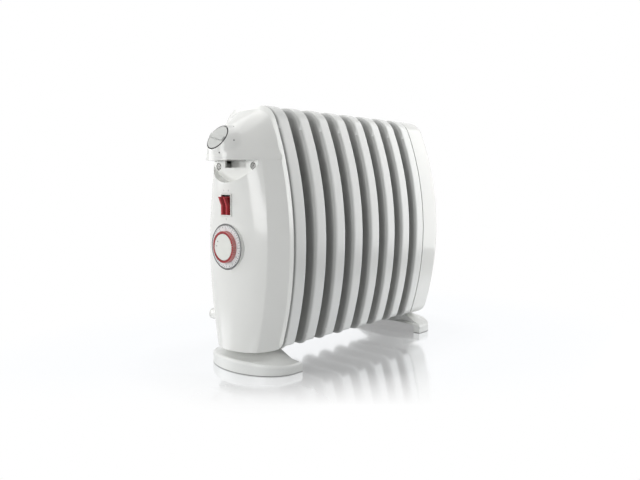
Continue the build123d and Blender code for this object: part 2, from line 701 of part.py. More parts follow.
def thermostat_body():
    """Thermostat behind the dome, on a plate with two screw ears."""
    seat = -KNOB_SUNK - KNOB_BOSS
    plate = KNOB_PLANE.offset(seat - THERMOSTAT_EAR) * Rectangle(THERMOSTAT_WIDTH, THERMOSTAT_EAR_HEIGHT)
    body = extrude(plate, THERMOSTAT_EAR)
    case = KNOB_PLANE.offset(seat - THERMOSTAT_DEPTH) * Rectangle(THERMOSTAT_CASE, THERMOSTAT_HEIGHT)
    body += extrude(case, THERMOSTAT_DEPTH)
    depth = THERMOSTAT_DEPTH * SHAFT_SHARE + KNOB_LIFT
    body -= knob_bar(SHAFT_RADIUS + SHAFT_FIT, seat - depth, seat + OVERCUT)
    for x in (-THERMOSTAT_SCREW_X, THERMOSTAT_SCREW_X):
        hole = KNOB_PLANE.offset(seat - THERMOSTAT_EAR) * Pos(x, 0) * Circle(SCREW_RADIUS + SCREW_FIT)
        body -= extrude(hole, THERMOSTAT_EAR)
    return body


def thermostat_screw(x):
    seat = -KNOB_SUNK - KNOB_BOSS - THERMOSTAT_EAR
    head = KNOB_PLANE.offset(seat - SCREW_HEAD_THICK) * Pos(x, 0) * Circle(THERMOSTAT_SCREW_HEAD)
    shank = KNOB_PLANE.offset(seat) * Pos(x, 0) * Circle(SCREW_RADIUS)
    length = THERMOSTAT_EAR + KNOB_BOSS * THERMOSTAT_SCREW_BITE - SCREW_FIT
    return extrude(head, SCREW_HEAD_THICK) + extrude(shank, length)


def switch_block(half_x, half_z, front, back):
    return block((-half_x, half_x), (front, back), (SWITCH_Z - half_z, SWITCH_Z + half_z))


def switch_housing():
    """Frame and body of the double switch, with a room for each rocker and holes for the pin."""
    half_x = SWITCH_WIDTH / 2
    half_z = SWITCH_HEIGHT / 2
    frame = switch_block(half_x, half_z, SWITCH_FRONT, SWITCH_SEAT_Y)
    frame = fillet(frame.faces().sort_by(Axis.Y)[0].edges(), SWITCH_FLANGE / 4)
    body_back = SWITCH_SEAT_Y + SWITCH_BODY_DEPTH
    frame += switch_block(half_x - SWITCH_BODY_EDGE, half_z - SWITCH_BODY_EDGE, SWITCH_SEAT_Y, body_back)
    heights = (SWITCH_Z - ROCKER_WINDOW, SWITCH_Z + ROCKER_WINDOW)
    room = ROCKER_WIDTH / 2 + ROCKER_GAP
    for x in (-ROCKER_X, ROCKER_X):
        depths = (SWITCH_FRONT - OVERCUT, ROCKER_AXIS_Y + ROCKER_HALF + ROCKER_GAP)
        frame -= block((x - room, x + room), depths, heights)
    return frame - pivot(PIN_RADIUS + PIN_FIT, PIN_HALF + PIN_FIT)


def pivot(radius, half):
    plane = Plane((-half, ROCKER_AXIS_Y, SWITCH_Z), x_dir=(0, 1, 0), z_dir=(1, 0, 0))
    return extrude(plane * Circle(radius), 2 * half)


def rocker(x):
    """Rocker with a shallow V front, resting with its upper end out."""
    dip = -ROCKER_SINK - ROCKER_FACE
    end = dip - ROCKER_HALF * math.tan(ROCKER_TURN)
    edges = [
        Line((end, ROCKER_HALF), (dip, 0)),
        Line((dip, 0), (end, -ROCKER_HALF)),
        Line((end, -ROCKER_HALF), (0, -ROCKER_BACK)),
        ThreePointArc((0, -ROCKER_BACK), (ROCKER_DRUM, 0), (0, ROCKER_BACK)),
        Line((0, ROCKER_BACK), (end, ROCKER_HALF)),
    ]
    profile = Rot(0, 0, ROCKER_ANGLE) * make_face(edges)
    start = x - ROCKER_WIDTH / 2
    plane = Plane((start, ROCKER_AXIS_Y, SWITCH_Z), x_dir=(0, 1, 0), z_dir=(1, 0, 0))
    body = extrude(plane * profile, ROCKER_WIDTH)
    return body - pivot(PIN_RADIUS + PIN_FIT, SWITCH_WIDTH)


def switch_terminals():
    back = SWITCH_SEAT_Y + SWITCH_BODY_DEPTH
    blades = []
    for x in (-ROCKER_X, ROCKER_X):
        for row in (-1, 0, 1):
            z = SWITCH_Z + row * BLADE_PITCH
            blades.append(block(
                (x - BLADE_THICK / 2, x + BLADE_THICK / 2),
                (back, back + BLADE_LENGTH),
                (z - BLADE_WIDTH / 2, z + BLADE_WIDTH / 2),
            ))
    return Compound(blades)


def timer_dial():
    """Turning dial with a flat scale ring, a groove for the tappets and a raised hub."""
    back = DIAL_FRONT + DIAL_THICK
    dial = bar(0, TIMER_Z, DIAL_RADIUS, DIAL_FRONT, back)
    floor = back - DIAL_FLOOR
    groove = bar(0, TIMER_Z, TAPPET_OUTER + TAPPET_FIT, DIAL_FRONT - OVERCUT, floor)
    groove -= bar(0, TIMER_Z, TAPPET_INNER - TAPPET_FIT, DIAL_FRONT - OVERCUT, floor)
    dial -= groove
    dial += bar(0, TIMER_Z, TAPPET_INNER - TAPPET_FIT, DIAL_FRONT - TAPPET_PROUD + CAP_THICK, floor)
    return dial


def timer_cap():
    front = DIAL_FRONT - TAPPET_PROUD
    cap = bar(0, TIMER_Z, TAPPET_INNER - TAPPET_FIT, front, front + CAP_THICK)
    return fillet(cap.faces().sort_by(Axis.Y)[0].edges(), CAP_EDGE)


def tappet_set(number):
    """A quarter of the ring of tappets, one for each half hour."""
    front = DIAL_FRONT - TAPPET_PROUD
    back = DIAL_FRONT + DIAL_THICK - DIAL_FLOOR - TAPPET_TRAVEL - TAPPET_FIT
    turn = 360 / TAPPET_COUNT
    wedge = make_face(Polyline(
        (0, 0),
        polar(2 * TAPPET_OUTER, -turn * TAPPET_SHARE / 2),
        polar(2 * TAPPET_OUTER, turn * TAPPET_SHARE / 2),
        close=True,
    ))
    ring = Circle(TAPPET_OUTER) - Circle(TAPPET_INNER)
    tooth = extrude(upright(0, front, TIMER_Z) * (ring & wedge), back - front)
    tooth = fillet(tooth.faces().sort_by(Axis.Y)[0].edges().sort_by(Axis.X)[-1], TAPPET_EDGE)
    count = TAPPET_COUNT // TAPPET_SETS
    axis = Axis((0, 0, TIMER_Z), (0, 1, 0))
    return Compound([tooth.rotate(axis, (number * count + step + 0.5) * turn) for step in range(count)])


def polar(radius, degrees):
    return radius * math.cos(math.radians(degrees)), radius * math.sin(math.radians(degrees))


def timer_spindle():
    start = DIAL_FRONT + DIAL_THICK
    return bar(0, TIMER_Z, SPINDLE_RADIUS, start, start + SPINDLE_LENGTH)


def timer_body():
    """Synchronous motor and switch of the timer, behind the panel."""
    start = WELL_Y + WALL
    body = bar(0, TIMER_Z, TIMER_BODY_RADIUS, start, start + TIMER_BODY_DEPTH)
    body = fillet(body.faces().sort_by(Axis.Y)[-1].edges(), WALL)
    end = DIAL_FRONT + DIAL_THICK + SPINDLE_LENGTH + SEAM_GAP
    return body - bar(0, TIMER_Z, SPINDLE_RADIUS + SPINDLE_FIT, start - OVERCUT, end)


def terminal_block():
    """Three-way terminal block on the front plate."""
    front = PLATE_FRONT - BLOCK_DEPTH
    heights = (BLOCK_Z - BLOCK_HEIGHT / 2, BLOCK_Z + BLOCK_HEIGHT / 2)
    body = block((-BLOCK_WIDTH / 2, BLOCK_WIDTH / 2), (front, PLATE_FRONT), heights)
    for way in (-1, 0, 1):
        body -= bar(way * BLOCK_WIDTH / 3, BLOCK_Z, BLOCK_WELL, front, front + BLOCK_WELL)
    return body


def thermal_cutout():
    """Safety cut-out on the front plate: a round case on a square base."""
    base = extrude(upright(CUTOUT_X, PLATE_FRONT - PLATE, CUTOUT_Z) * Rectangle(
        3 * CUTOUT_RADIUS, 2 * CUTOUT_RADIUS), PLATE)
    return base + bar(CUTOUT_X, CUTOUT_Z, CUTOUT_RADIUS, PLATE_FRONT - CUTOUT_DEPTH, PLATE_FRONT - PLATE)


def wire(points):
    """Round wire along straight runs with bent corners."""
    path = FilletPolyline(*points, radius=WIRE_BEND)
    start = Vector(*points[0])
    way = (Vector(*points[1]) - start).normalized()
    return sweep(Plane(start, z_dir=way) * Circle(WIRE_RADIUS), path)


def wires():
    """Inner wires between the switch, timer, thermostat, cut-out, terminal block and rods."""
    gap_y = PLATE_FRONT - WIRE_OFF_PLATE
    front_y = PLATE_FRONT - BLOCK_DEPTH - WIRE_LOOP
    block_face = PLATE_FRONT - BLOCK_DEPTH
    block_top = BLOCK_Z + BLOCK_HEIGHT / 2
    blade_y = SWITCH_SEAT_Y + SWITCH_BODY_DEPTH + BLADE_LENGTH
    low_blade = SWITCH_Z - BLADE_PITCH
    high_blade = SWITCH_Z + BLADE_PITCH
    rod_y = STUB_FACE - CAP_FLANGE - PLUG_HEX_THICK - ROD_PROUD
    rod_z = HEADER_LOW + ROD_Z
    timer_y = WELL_Y + WALL + TIMER_BODY_DEPTH
    timer_low = TIMER_Z - TIMER_BODY_RADIUS / 2
    side_x = -SLOT_HALF - SLOT_WALL - 2 * WIRE_RADIUS
    case_depth = KNOB_SUNK + KNOB_BOSS + THERMOSTAT_DEPTH * CASE_WIRE_SHARE
    case_way = KNOB_PLANE.offset(-case_depth).origin
    switch_feed = [(ROCKER_X, gap_y, block_top), (ROCKER_X, gap_y, low_blade), (ROCKER_X, blade_y, low_blade)]
    x = -BLOCK_WIDTH / 3
    timer_feed = [(x, timer_y, timer_low), (x, gap_y, timer_low), (x, gap_y, block_top)]
    rod_feed = [(-ROD_X, block_face, BLOCK_Z + BLOCK_WELL), (-ROD_X, front_y, BLOCK_Z + BLOCK_WELL),
                (-ROD_X, front_y, rod_z), (-ROD_X, rod_y, rod_z)]
    cutout_feed = [(ROD_X, rod_y, rod_z), (ROD_X, front_y, rod_z), (CUTOUT_X, front_y, rod_z),
                   (CUTOUT_X, front_y, CUTOUT_Z), (CUTOUT_X, PLATE_FRONT - CUTOUT_DEPTH, CUTOUT_Z)]
    thermostat_feed = [(-ROCKER_X, blade_y, high_blade), (-ROCKER_X, gap_y, high_blade),
                       (side_x, gap_y, high_blade), (side_x, gap_y, case_way.Z),
                       (side_x, case_way.Y, case_way.Z), (-THERMOSTAT_CASE / 2, case_way.Y, case_way.Z)]
    routes = (switch_feed, timer_feed, rod_feed, cutout_feed, thermostat_feed)
    return Compound([wire(points) for points in routes])


def cord_gland():
    """Bush for the mains cord in the left side of the front cover."""
    plane = gland_plane()
    bush = extrude(plane.offset(-GLAND_FLANGE_THICK) * Circle(GLAND_FLANGE), GLAND_FLANGE_THICK)
    bush = fillet(bush.faces().sort_by(Axis.X)[0].edges(), GLAND_FLANGE_THICK / 2)
    bush += extrude(plane * Circle(GLAND_NECK), GLAND_NECK_LENGTH + WALL)
    return bush - extrude(plane.offset(-2 * GLAND_FLANGE_THICK) * Circle(GLAND_BORE), 4 * GLAND_NECK_LENGTH)


def foot_screws():
    solids = []
    for y, seat in ((FRONT_FOOT_SCREW, FIN_BOTTOM), (REAR_FOOT_SCREW, REAR_BOTTOM)):
        for x in (-FOOT_SCREW_X, FOOT_SCREW_X):
            solids.append(foot_screw(x, y, seat))
    return Compound(solids)


def cover_screws():
    length = FRONT_POST + POST_LENGTH - COVER_SCREW_Y
    return Compound([screw(x, z, COVER_SCREW_Y, 1, length) for x, z in front_screw_places()])


def rear_cover_screws():
    return Compound([screw(x, z, REAR_POST + WALL, -1, WALL + SCREW_BITE) for x, z in rear_screw_places()])


def build():
    """Every node of the heater by name."""
    nodes = {f"fin_{number + 1}": fin(number) for number in range(FIN_COUNT)}
    nodes["header_cap_front"] = header_cap(HEADER_HIGH, STUB_FACE, -1)
    nodes["header_cap_rear"] = header_cap(HEADER_HIGH, REAR_STUB_FACE, 1)
    nodes["oil_filler_plug"] = filler_plug()
    nodes["heater_plug"] = heater_plug()
    nodes["heating_rod_left"] = heating_rod(-ROD_X)
    nodes["heating_rod_right"] = heating_rod(ROD_X)
    nodes["front_plate"] = mounting_plate(FRONT_PLATE, -1, front_screw_places(), FRONT_POST)
    nodes["rear_plate"] = mounting_plate(REAR_PLATE, 1, rear_screw_places(), REAR_POST)
    nodes["front_cover"] = front_cover()
    nodes["rear_cover"] = rear_cover()
    nodes["cover_screws"] = cover_screws()
    nodes["rear_cover_screws"] = rear_cover_screws()
    nodes["front_foot"] = foot(MID_Y + FOOT_FRONT, -1, FRONT_FOOT_SCREW, FIN_BOTTOM)
    nodes["rear_foot"] = foot(MID_Y + FOOT_REAR, 1, REAR_FOOT_SCREW, REAR_BOTTOM)
    nodes["foot_screws"] = foot_screws()
    nodes["thermostat_knob"] = thermostat_knob()
    nodes["thermostat_shaft"] = thermostat_shaft()
    nodes["thermostat_body"] = thermostat_body()
    sides = (-THERMOSTAT_SCREW_X, THERMOSTAT_SCREW_X)
    nodes["thermostat_screws"] = Compound([thermostat_screw(x) for x in sides])
    nodes["switch_housing"] = switch_housing()
    nodes["switch_pin"] = pivot(PIN_RADIUS, PIN_HALF)
    nodes["switch_terminals"] = switch_terminals()
    nodes["rocker_left"] = rocker(-ROCKER_X)
    nodes["rocker_right"] = rocker(ROCKER_X)
    nodes["timer_dial"] = timer_dial()
    nodes["timer_cap"] = timer_cap()
    for number in range(TAPPET_SETS):
        nodes[f"timer_tappets_{number + 1}"] = tappet_set(number)
    nodes["timer_spindle"] = timer_spindle()
    nodes["timer_body"] = timer_body()
    nodes["terminal_block"] = terminal_block()
    nodes["thermal_cutout"] = thermal_cutout()
    nodes["wires"] = wires()
    nodes["cord_gland"] = cord_gland()
    return nodes


if __name__ == "__main__":
    os.makedirs("parts", exist_ok=True)
    for name, shape in build().items():
        export_step(shape, f"parts/{name}.step")
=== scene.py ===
"""Looks of an oil filled radiator heater: its finishes, screws, blended edges, printed marks and stage."""

import json
import math

import bpy
from mathutils import Matrix, Vector


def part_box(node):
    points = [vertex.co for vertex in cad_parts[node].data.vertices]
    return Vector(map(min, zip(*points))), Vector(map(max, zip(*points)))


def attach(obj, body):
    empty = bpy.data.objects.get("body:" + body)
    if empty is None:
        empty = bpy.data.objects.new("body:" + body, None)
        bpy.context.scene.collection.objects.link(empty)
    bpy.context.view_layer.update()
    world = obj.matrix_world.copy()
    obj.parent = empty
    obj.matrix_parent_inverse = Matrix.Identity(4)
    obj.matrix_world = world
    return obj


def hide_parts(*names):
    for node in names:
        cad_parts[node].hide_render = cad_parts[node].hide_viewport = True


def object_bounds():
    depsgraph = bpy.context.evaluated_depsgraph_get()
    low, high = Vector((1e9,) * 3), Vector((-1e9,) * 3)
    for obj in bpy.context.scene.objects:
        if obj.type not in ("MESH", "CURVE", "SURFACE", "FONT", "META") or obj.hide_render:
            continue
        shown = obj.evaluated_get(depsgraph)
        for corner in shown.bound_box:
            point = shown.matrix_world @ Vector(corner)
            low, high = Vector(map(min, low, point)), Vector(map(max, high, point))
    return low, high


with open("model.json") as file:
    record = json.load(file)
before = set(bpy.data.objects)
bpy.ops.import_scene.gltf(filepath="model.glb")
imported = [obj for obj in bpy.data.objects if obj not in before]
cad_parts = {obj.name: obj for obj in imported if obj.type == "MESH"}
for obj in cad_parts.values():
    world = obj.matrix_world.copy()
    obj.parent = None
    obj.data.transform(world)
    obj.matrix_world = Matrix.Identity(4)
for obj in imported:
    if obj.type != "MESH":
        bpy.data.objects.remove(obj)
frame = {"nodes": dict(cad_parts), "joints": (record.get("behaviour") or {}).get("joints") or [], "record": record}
CAD_BOX = [list(corner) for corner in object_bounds()]

bl_info = {
    "name": "Oil Filled Radiator Heater",
    "version": (1, 0, 0),
    "blender": (4, 5, 0),
    "location": "3D View > Sidebar > Heater",
    "description": "Dresses the heater's parts and adds its screws, blended edges, marks and stage",
    "category": "Object",
}

MM = 0.001
ACROSS = Vector((1.0, 0.0, 0.0))
ALONG = Vector((0.0, 1.0, 0.0))
UP = Vector((0.0, 0.0, 1.0))
FULL_TURN = 2 * math.pi
SKIRT_RINGS = 14  # of faces, from a blend's inner edge to its outer one
SKIRT_SIDES = 96  # of each ring
JOINTS = {joint["name"]: joint for joint in frame["joints"]}


# Shader expressions


def feed(node, inputs):
    """Sets or links a node's inputs, given by name or by number."""
    for name, value in inputs.items():
        if isinstance(value, Socket):
            node.id_data.links.new(value.output, node.inputs[name])
        else:
            node.inputs[name].default_value = value


class Socket:
    """A node's output, on which Python's operators add Math nodes to the same tree."""

    def __init__(self, output):
        self.output = output

    def node(self, kind, settings, inputs, result=0):
        """Adds any other node: its settings first, then the values or links of its sockets."""
        made = self.output.id_data.nodes.new(kind)
        for name, value in settings.items():
            setattr(made, name, value)
        feed(made, inputs)
        return Socket(made.outputs[result])

    def math(self, operation, first, second=0.0):
        """One Math node of two values."""
        return self.node("ShaderNodeMath", {"operation": operation}, {0: first, 1: second})

    def __add__(self, other):
        return self.math("ADD", self, other)

    __radd__ = __add__

    def __sub__(self, other):
        return self.math("SUBTRACT", self, other)

    def __rsub__(self, other):
        return self.math("SUBTRACT", other, self)

    def __mul__(self, other):
        return self.math("MULTIPLY", self, other)

    __rmul__ = __mul__

    def __truediv__(self, other):
        return self.math("DIVIDE", self, other)

    def __rtruediv__(self, other):
        return self.math("DIVIDE", other, self)

    def __gt__(self, other):
        return self.math("GREATER_THAN", self, other)

    def __lt__(self, other):
        return self.math("LESS_THAN", self, other)

    def __pow__(self, other):
        return self.math("POWER", self, other)

    def __abs__(self):
        return self.math("ABSOLUTE", self)

    def either(self, other):
        """The larger of two values, which joins two masks."""
        return self.math("MAXIMUM", self, other)

    def clear(self):
        """The value held between 0 and 1."""
        return self.node("ShaderNodeClamp", {}, {"Value": self})

    def tint(self, low, high):
        """Colour that goes from low to high as this value goes from 0 to 1."""
        return self.node("ShaderNodeMix", {"data_type": "RGBA"}, {0: self, 6: low, 7: high}, 2)

    def grain(self, scale, detail=2.0):
        """Noise on these coordinates, with about this many spots to a metre."""
        return self.node("ShaderNodeTexNoise", {}, {"Vector": self, "Scale": scale, "Detail": detail})

    def axis(self, name):
        """One coordinate of these, by its letter."""
        return self.node("ShaderNodeSeparateXYZ", {}, {"Vector": self}, name)

    def away(self, centre, axis):
        """Distance of these coordinates from a line through a centre."""
        vector = "ShaderNodeVectorMath"
        offset = self.node(vector, {"operation": "SUBTRACT"}, {0: self, 1: centre})
        along = offset.node(vector, {"operation": "DOT_PRODUCT"}, {0: offset, 1: axis}, 1)
        whole = offset.node(vector, {"operation": "LENGTH"}, {0: offset}, 1)
        return (whole * whole - along * along).either(0.0) ** 0.5

    def relief(self, depth):
        """Surface normal for this height, where 1 stands that many metres proud."""
        return self.node("ShaderNodeBump", {}, {"Distance": depth, "Height": self})


def new_finish(name, constants):
    """Material, its shader with the inputs that don't vary, and its Object coordinates."""
    material = bpy.data.materials.new(name)
    material.use_nodes = True
    shader = material.node_tree.nodes["Principled BSDF"]
    feed(shader, constants)
    place = Socket(material.node_tree.nodes.new("ShaderNodeTexCoord").outputs["Object"])
    return material, shader, place


def solid(colour, share=1.0):
    """RGBA of a colour, scaled to a share."""
    return tuple(channel * share for channel in colour[:3]) + (1.0,)


def seen_rays(tree):
    """1 for rays that the camera, a reflection or glass shows, and 0 for those that only carry light."""
    path = tree.nodes.new("ShaderNodeLightPath")
    seen = Socket(path.outputs["Is Camera Ray"])
    for kind in ("Is Glossy Ray", "Is Transmission Ray"):
        seen = seen.either(Socket(path.outputs[kind]))
    return seen


# Finishes


def fin_inset(place, sizes):
    """How far these coordinates lie inside the fins' outline: two bowed sides with rounded corners, which shapes
    the painted shade between the fins.
    """
    low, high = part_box("fin_1")
    centre = high.x - sizes.fin_bow
    across = abs(place.axis("X"))
    reach = across - centre
    rise = place.axis("Z") - sizes.fin_widest
    inset = sizes.fin_bow - (reach * reach + rise * rise) ** 0.5
    top = (sizes.fin_top_corner, high.z - sizes.fin_top_corner, 1.0)
    bottom = (sizes.fin_bottom_corner, low.z + sizes.fin_bottom_corner, -1.0)
    for radius, level, side in (top, bottom):
        middle = centre + math.sqrt((sizes.fin_bow - radius) ** 2 - (level - sizes.fin_widest) ** 2)
        beside = (across - middle).either(0.0)
        beyond = side * (place.axis("Z") - level)
        corner = radius - (beside * beside + beyond * beyond) ** 0.5
        inset = place.math("MINIMUM", inset, corner + (beyond < 0.0))
    return inset


def stove_enamel(colour, sizes):
    """Sprayed white enamel with a soft orange peel, with painted shade: darker and duller deep between the fins.
    """
    # edge and fade: where the painted shade begins inside the fins' outline, and over what depth it deepens
    edge, fade = 0.2 * MM, 1.2 * MM
    material, shader, place = new_finish("stove_enamel", {"Coat Weight": 0.15, "Coat Roughness": 0.12})
    inset = fin_inset(place, sizes)
    peel = place.grain(320.0, 1.0)
    cloud = place.grain(14.0, 3.0)
    # painted shade: the enamel darkens deep between the fins, where the fins shade each other
    painted_light_mask = ((inset - edge) / fade + 0.3 * (cloud - 0.5)).clear()
    sprayed = cloud.tint(solid(colour, 0.97), solid(colour))
    feed(shader, {
        # 0.64 is how dark the painted shade between the fins gets
        "Base Color": painted_light_mask.tint(sprayed, solid(colour, 0.64)),
        "Roughness": 0.2 + 0.1 * peel + 0.25 * painted_light_mask,
        "Normal": (peel + 0.25 * place.grain(1400.0)).relief(0.03 * MM),
    })
    return material


def moulding(place, colour, grain_size):
    """Colour with faint flow clouds, fine grain, and normal with shallow sink marks, of moulded plastic."""
    fine = place.grain(grain_size)
    clouded = place.grain(22.0, 3.0).tint(solid(colour, 0.97), solid(colour))
    return clouded, fine, (0.12 * fine + 0.88 * place.grain(30.0, 1.0)).relief(0.05 * MM)


def moulded_plastic(name, colour, roughness):
    """Satin moulded plastic of the timer."""
    material, shader, place = new_finish(name, {"Specular IOR Level": 0.5})
    clouded, fine, normal = moulding(place, colour, 2200.0)
    feed(shader, {"Base Color": clouded, "Roughness": roughness + 0.06 * fine, "Normal": normal})
    return material


def cover_plastic(colour, line):
    """Glossy moulded plastic of the covers, with painted shade: dark along the seam against the first fin, in
    place of the gap's shadow.
    """
    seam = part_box("front_cover")[1].y
    material, shader, place = new_finish("cover_plastic", {"Specular IOR Level": 0.5})
    clouded, fine, normal = moulding(place, colour, 1600.0)
    # painted shade along the seam, in place of the shadow in the gap against the first fin; it also raises the
    # roughness there
    painted_seam_shade = (1.5 - abs(place.axis("Y") - seam) / line).clear()
    feed(shader, {
        "Base Color": painted_seam_shade.tint(clouded, solid(colour, 0.25)),
        "Roughness": 0.1 + 0.06 * fine + 0.3 * painted_seam_shade,
        "Normal": normal,
    })
    return material


def foot_plastic(colour, line):
    """Moulded plastic of the feet, with painted shade: dark along the edge that stands on the floor, in place of
    the contact shadow.
    """
    material, shader, place = new_finish("foot_plastic", {"Specular IOR Level": 0.5})
    clouded, fine, normal = moulding(place, colour, 1300.0)
    # painted contact shadow: the feet's lowest edge darkens, broken up by noise; it also raises the roughness
    # there
    painted_contact_shade = (1.6 - place.axis("Z") / line + 0.6 * (place.grain(420.0) - 0.5)).clear()
    feed(shader, {
        "Base Color": painted_contact_shade.tint(clouded, solid(colour, 0.22)),
        "Roughness": 0.24 + 0.06 * fine + 0.2 * painted_contact_shade,
        "Normal": normal,
    })
    return material


def knob_plastic(colour, painted_light_colour):
    """Satin grey knob face with fine turned rings and a line of painted shade round its edge, in place of the
    shadow in the gap round the knob.
    """
    joint = JOINTS["thermostat_turn"]
    low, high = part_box("thermostat_knob")
    radius = (high.x - low.x) / 2
    painted_light_width = 0.9 * MM
    ring_pitch = 0.45 * MM
    material, shader, place = new_finish("knob_plastic", {})
    distance = place.away(tuple(joint["pos_m"]), tuple(joint["axis"]))
    # painted shade: the outermost band of the face is dark, where the gap round the knob lies in shadow
    edge = distance > radius - painted_light_width
    rings = place.math("SINE", distance * (FULL_TURN / ring_pitch))
    face = place.grain(60.0).tint(solid(colour, 0.86), solid(colour))
    feed(shader, {
        "Base Color": edge.tint(face, solid(painted_light_colour)),
        "Roughness": 0.34 + 0.08 * place.grain(900.0),
        "Normal": (rings * (1 - edge)).relief(0.012 * MM),
    })
    return material


def tappet_plastic(colour, painted_light_colour):
    """Red plastic of the tappets, with a painted highlight: paler along their outer edge."""
    joint = JOINTS["timer_turn"]
    radius = max(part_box(node)[1].x for node in nodes_of("tappet_red"))
    painted_light_width = 0.5 * MM
    material, shader, place = new_finish("tappet_plastic", {"Specular IOR Level": 0.4})
    distance = place.away(tuple(joint["pos_m"]), tuple(joint["axis"]))
    # painted highlight: the tappets turn pale along their outer edge
    edge = ((distance - radius) / painted_light_width + 1.4).clear()
    thick = place.grain(160.0).tint(solid(colour, 0.72), solid(colour))
    feed(shader, {
        "Base Color": edge.tint(thick, solid(painted_light_colour)),
        "Roughness": 0.22 + 0.08 * place.grain(1200.0),
        "Normal": place.grain(260.0, 1.0).relief(0.02 * MM),
    })
    return material


def rocker_plastic(colour, painted_light_colour):
    """Clear red plastic with a painted highlight: pale along one side and the top edge of each rocker, deep red
    elsewhere.
    """
    left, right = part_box("rocker_left"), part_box("rocker_right")
    pitch = right[0].x - left[0].x
    width = left[1].x - left[0].x
    top = left[1].z
    top_highlight_width = 1.2 * MM
    material, shader, place = new_finish("rocker_plastic", {"Specular IOR Level": 0.1})
    across = place.math("FRACT", (place.axis("X") - left[0].x) / pitch) * (pitch / width)
    # painted highlight: pale at one side of each rocker, fading to deep red across it
    painted_light_mask = (1.15 - 2.2 * across).clear()
    # and a painted highlight along each rocker's top edge
    painted_light_mask = painted_light_mask.either((1.2 - (top - place.axis("Z")) / top_highlight_width).clear())
    feed(shader, {
        "Base Color": painted_light_mask.tint(solid(colour), solid(painted_light_colour)),
        "Roughness": 0.08 + 0.08 * place.grain(1200.0),
        "Normal": place.grain(260.0, 1.0).relief(0.02 * MM),
    })
    return material


def switch_plastic(colour, hollow_colour):
    """Pale switch frame that is black inside its window and behind the panel."""
    low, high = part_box("switch_housing")
    centre = (low + high) / 2
    frame_width = 1.9 * MM
    flange = 2.0 * MM
    material, shader, place = new_finish("switch_plastic", {})
    across = (high.x - centre.x - frame_width) > abs(place.axis("X") - centre.x)
    upright = (high.z - centre.z - frame_width) > abs(place.axis("Z") - centre.z)
    hollow = (across * upright).either(place.axis("Y") > low.y + flange)
    fine = place.grain(1500.0)
    feed(shader, {
        "Base Color": hollow.tint(solid(colour), solid(hollow_colour)),
        "Roughness": 0.3 + 0.2 * hollow + 0.08 * fine,
        "Normal": fine.relief(0.01 * MM),
    })
    return material


def polished_metal(name, colour, roughness, mark_size):
    """Bright metal with fine handling marks."""
    material, shader, place = new_finish(name, {"Metallic": 1.0})
    marks = place.grain(mark_size, 4.0)
    feed(shader, {
        "Base Color": marks.tint(solid(colour, 0.85), solid(colour)),
        "Roughness": roughness + 0.12 * marks,
        "Normal": marks.relief(0.008 * MM),
    })
    return material


def galvanised_sheet(colour):
    """Zinc coated sheet with its crystal spangle."""
    material, shader, place = new_finish("galvanised_sheet", {"Metallic": 1.0})
    spangle = place.node("ShaderNodeTexVoronoi", {}, {"Vector": place, "Scale": 130.0}, "Color").axis("X")
    feed(shader, {
        "Base Color": spangle.tint(solid(colour, 0.78), solid(colour)),
        "Roughness": 0.32 + 0.16 * spangle,
        "Normal": place.grain(700.0).relief(0.015 * MM),
    })
    return material


def dull_moulding(name, colour, roughness):
    """Matt moulding, sleeve or rubber with an eroded grain."""
    material, shader, place = new_finish(name, {"Specular IOR Level": 0.35})
    fine = place.grain(1100.0, 3.0)
    feed(shader, {
        "Base Color": place.grain(40.0).tint(solid(colour, 0.85), solid(colour)),
        "Roughness": roughness + 0.12 * fine,
        "Normal": fine.relief(0.03 * MM),
    })
    return material


def printing_ink(colour):
    """Thin screen printed ink, also used for the ring of painted shade round the timer dial."""
    material, shader, place = new_finish("printing_ink", {})
    coverage = place.grain(2600.0, 3.0)
    feed(shader, {
        "Base Color": coverage.tint(solid(colour), solid(colour, 1.35)),
        "Roughness": 0.45 + 0.15 * coverage,
    })
    return material


# Modelling by hand


def start_clean():
    """Leaves edit mode with nothing selected."""
    if bpy.context.mode != "OBJECT":
        bpy.ops.object.mode_set(mode="OBJECT")
    bpy.ops.object.select_all(action="DESELECT")


def pick_faces(wanted):
    """In edit mode, selects only the faces that a test wants."""
    bpy.ops.mesh.select_mode(type="FACE")
    bpy.ops.mesh.select_all(action="DESELECT")
    bpy.ops.object.mode_set(mode="OBJECT")
    for face in bpy.context.object.data.polygons:
        face.select = wanted(face)
    bpy.ops.object.mode_set(mode="EDIT")


def looks_up(face):
    """Whether a face points along Z."""
    return face.normal.z > 0.9


def looks_down(face):
    """Whether a face points against Z."""
    return face.normal.z < -0.9


def raise_faces(height):
    """Extrudes the selected faces along Z."""
    bpy.ops.mesh.extrude_region_move(TRANSFORM_OT_translate={"value": (0.0, 0.0, height)})


def close_edit():
    """Turns every face outwards and goes back to object mode."""
    bpy.ops.mesh.select_all(action="SELECT")
    bpy.ops.mesh.normals_make_consistent(inside=False)
    bpy.ops.object.mode_set(mode="OBJECT")


def settle(piece, place):
    """Moves a finished shape to its place and writes that place into its mesh."""
    start_clean()
    piece.select_set(True)
    bpy.context.view_layer.objects.active = piece
    piece.matrix_world = place
    bpy.ops.object.transform_apply(location=True, rotation=True, scale=True)
    return piece


def copy_to(model, place):
    """A copy of a shape, with a mesh of its own, at a place."""
    start_clean()
    model.select_set(True)
    bpy.context.view_layer.objects.active = model
    bpy.ops.object.duplicate(linked=False)
    return settle(bpy.context.object, place)


def join_all(name, shapes):
    """One piece made of several shapes."""
    start_clean()
    for shape in shapes:
        shape.select_set(True)
    bpy.context.view_layer.objects.active = shapes[0]
    if len(shapes) > 1:
        bpy.ops.object.join()
    shapes[0].name = name
    shapes[0].data.name = name
    return shapes[0]


def fasten(piece, body, material):
    """Gives a piece its finish and the body that it moves with."""
    piece.data.materials.clear()
    piece.data.materials.append(material)
    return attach(piece, body)


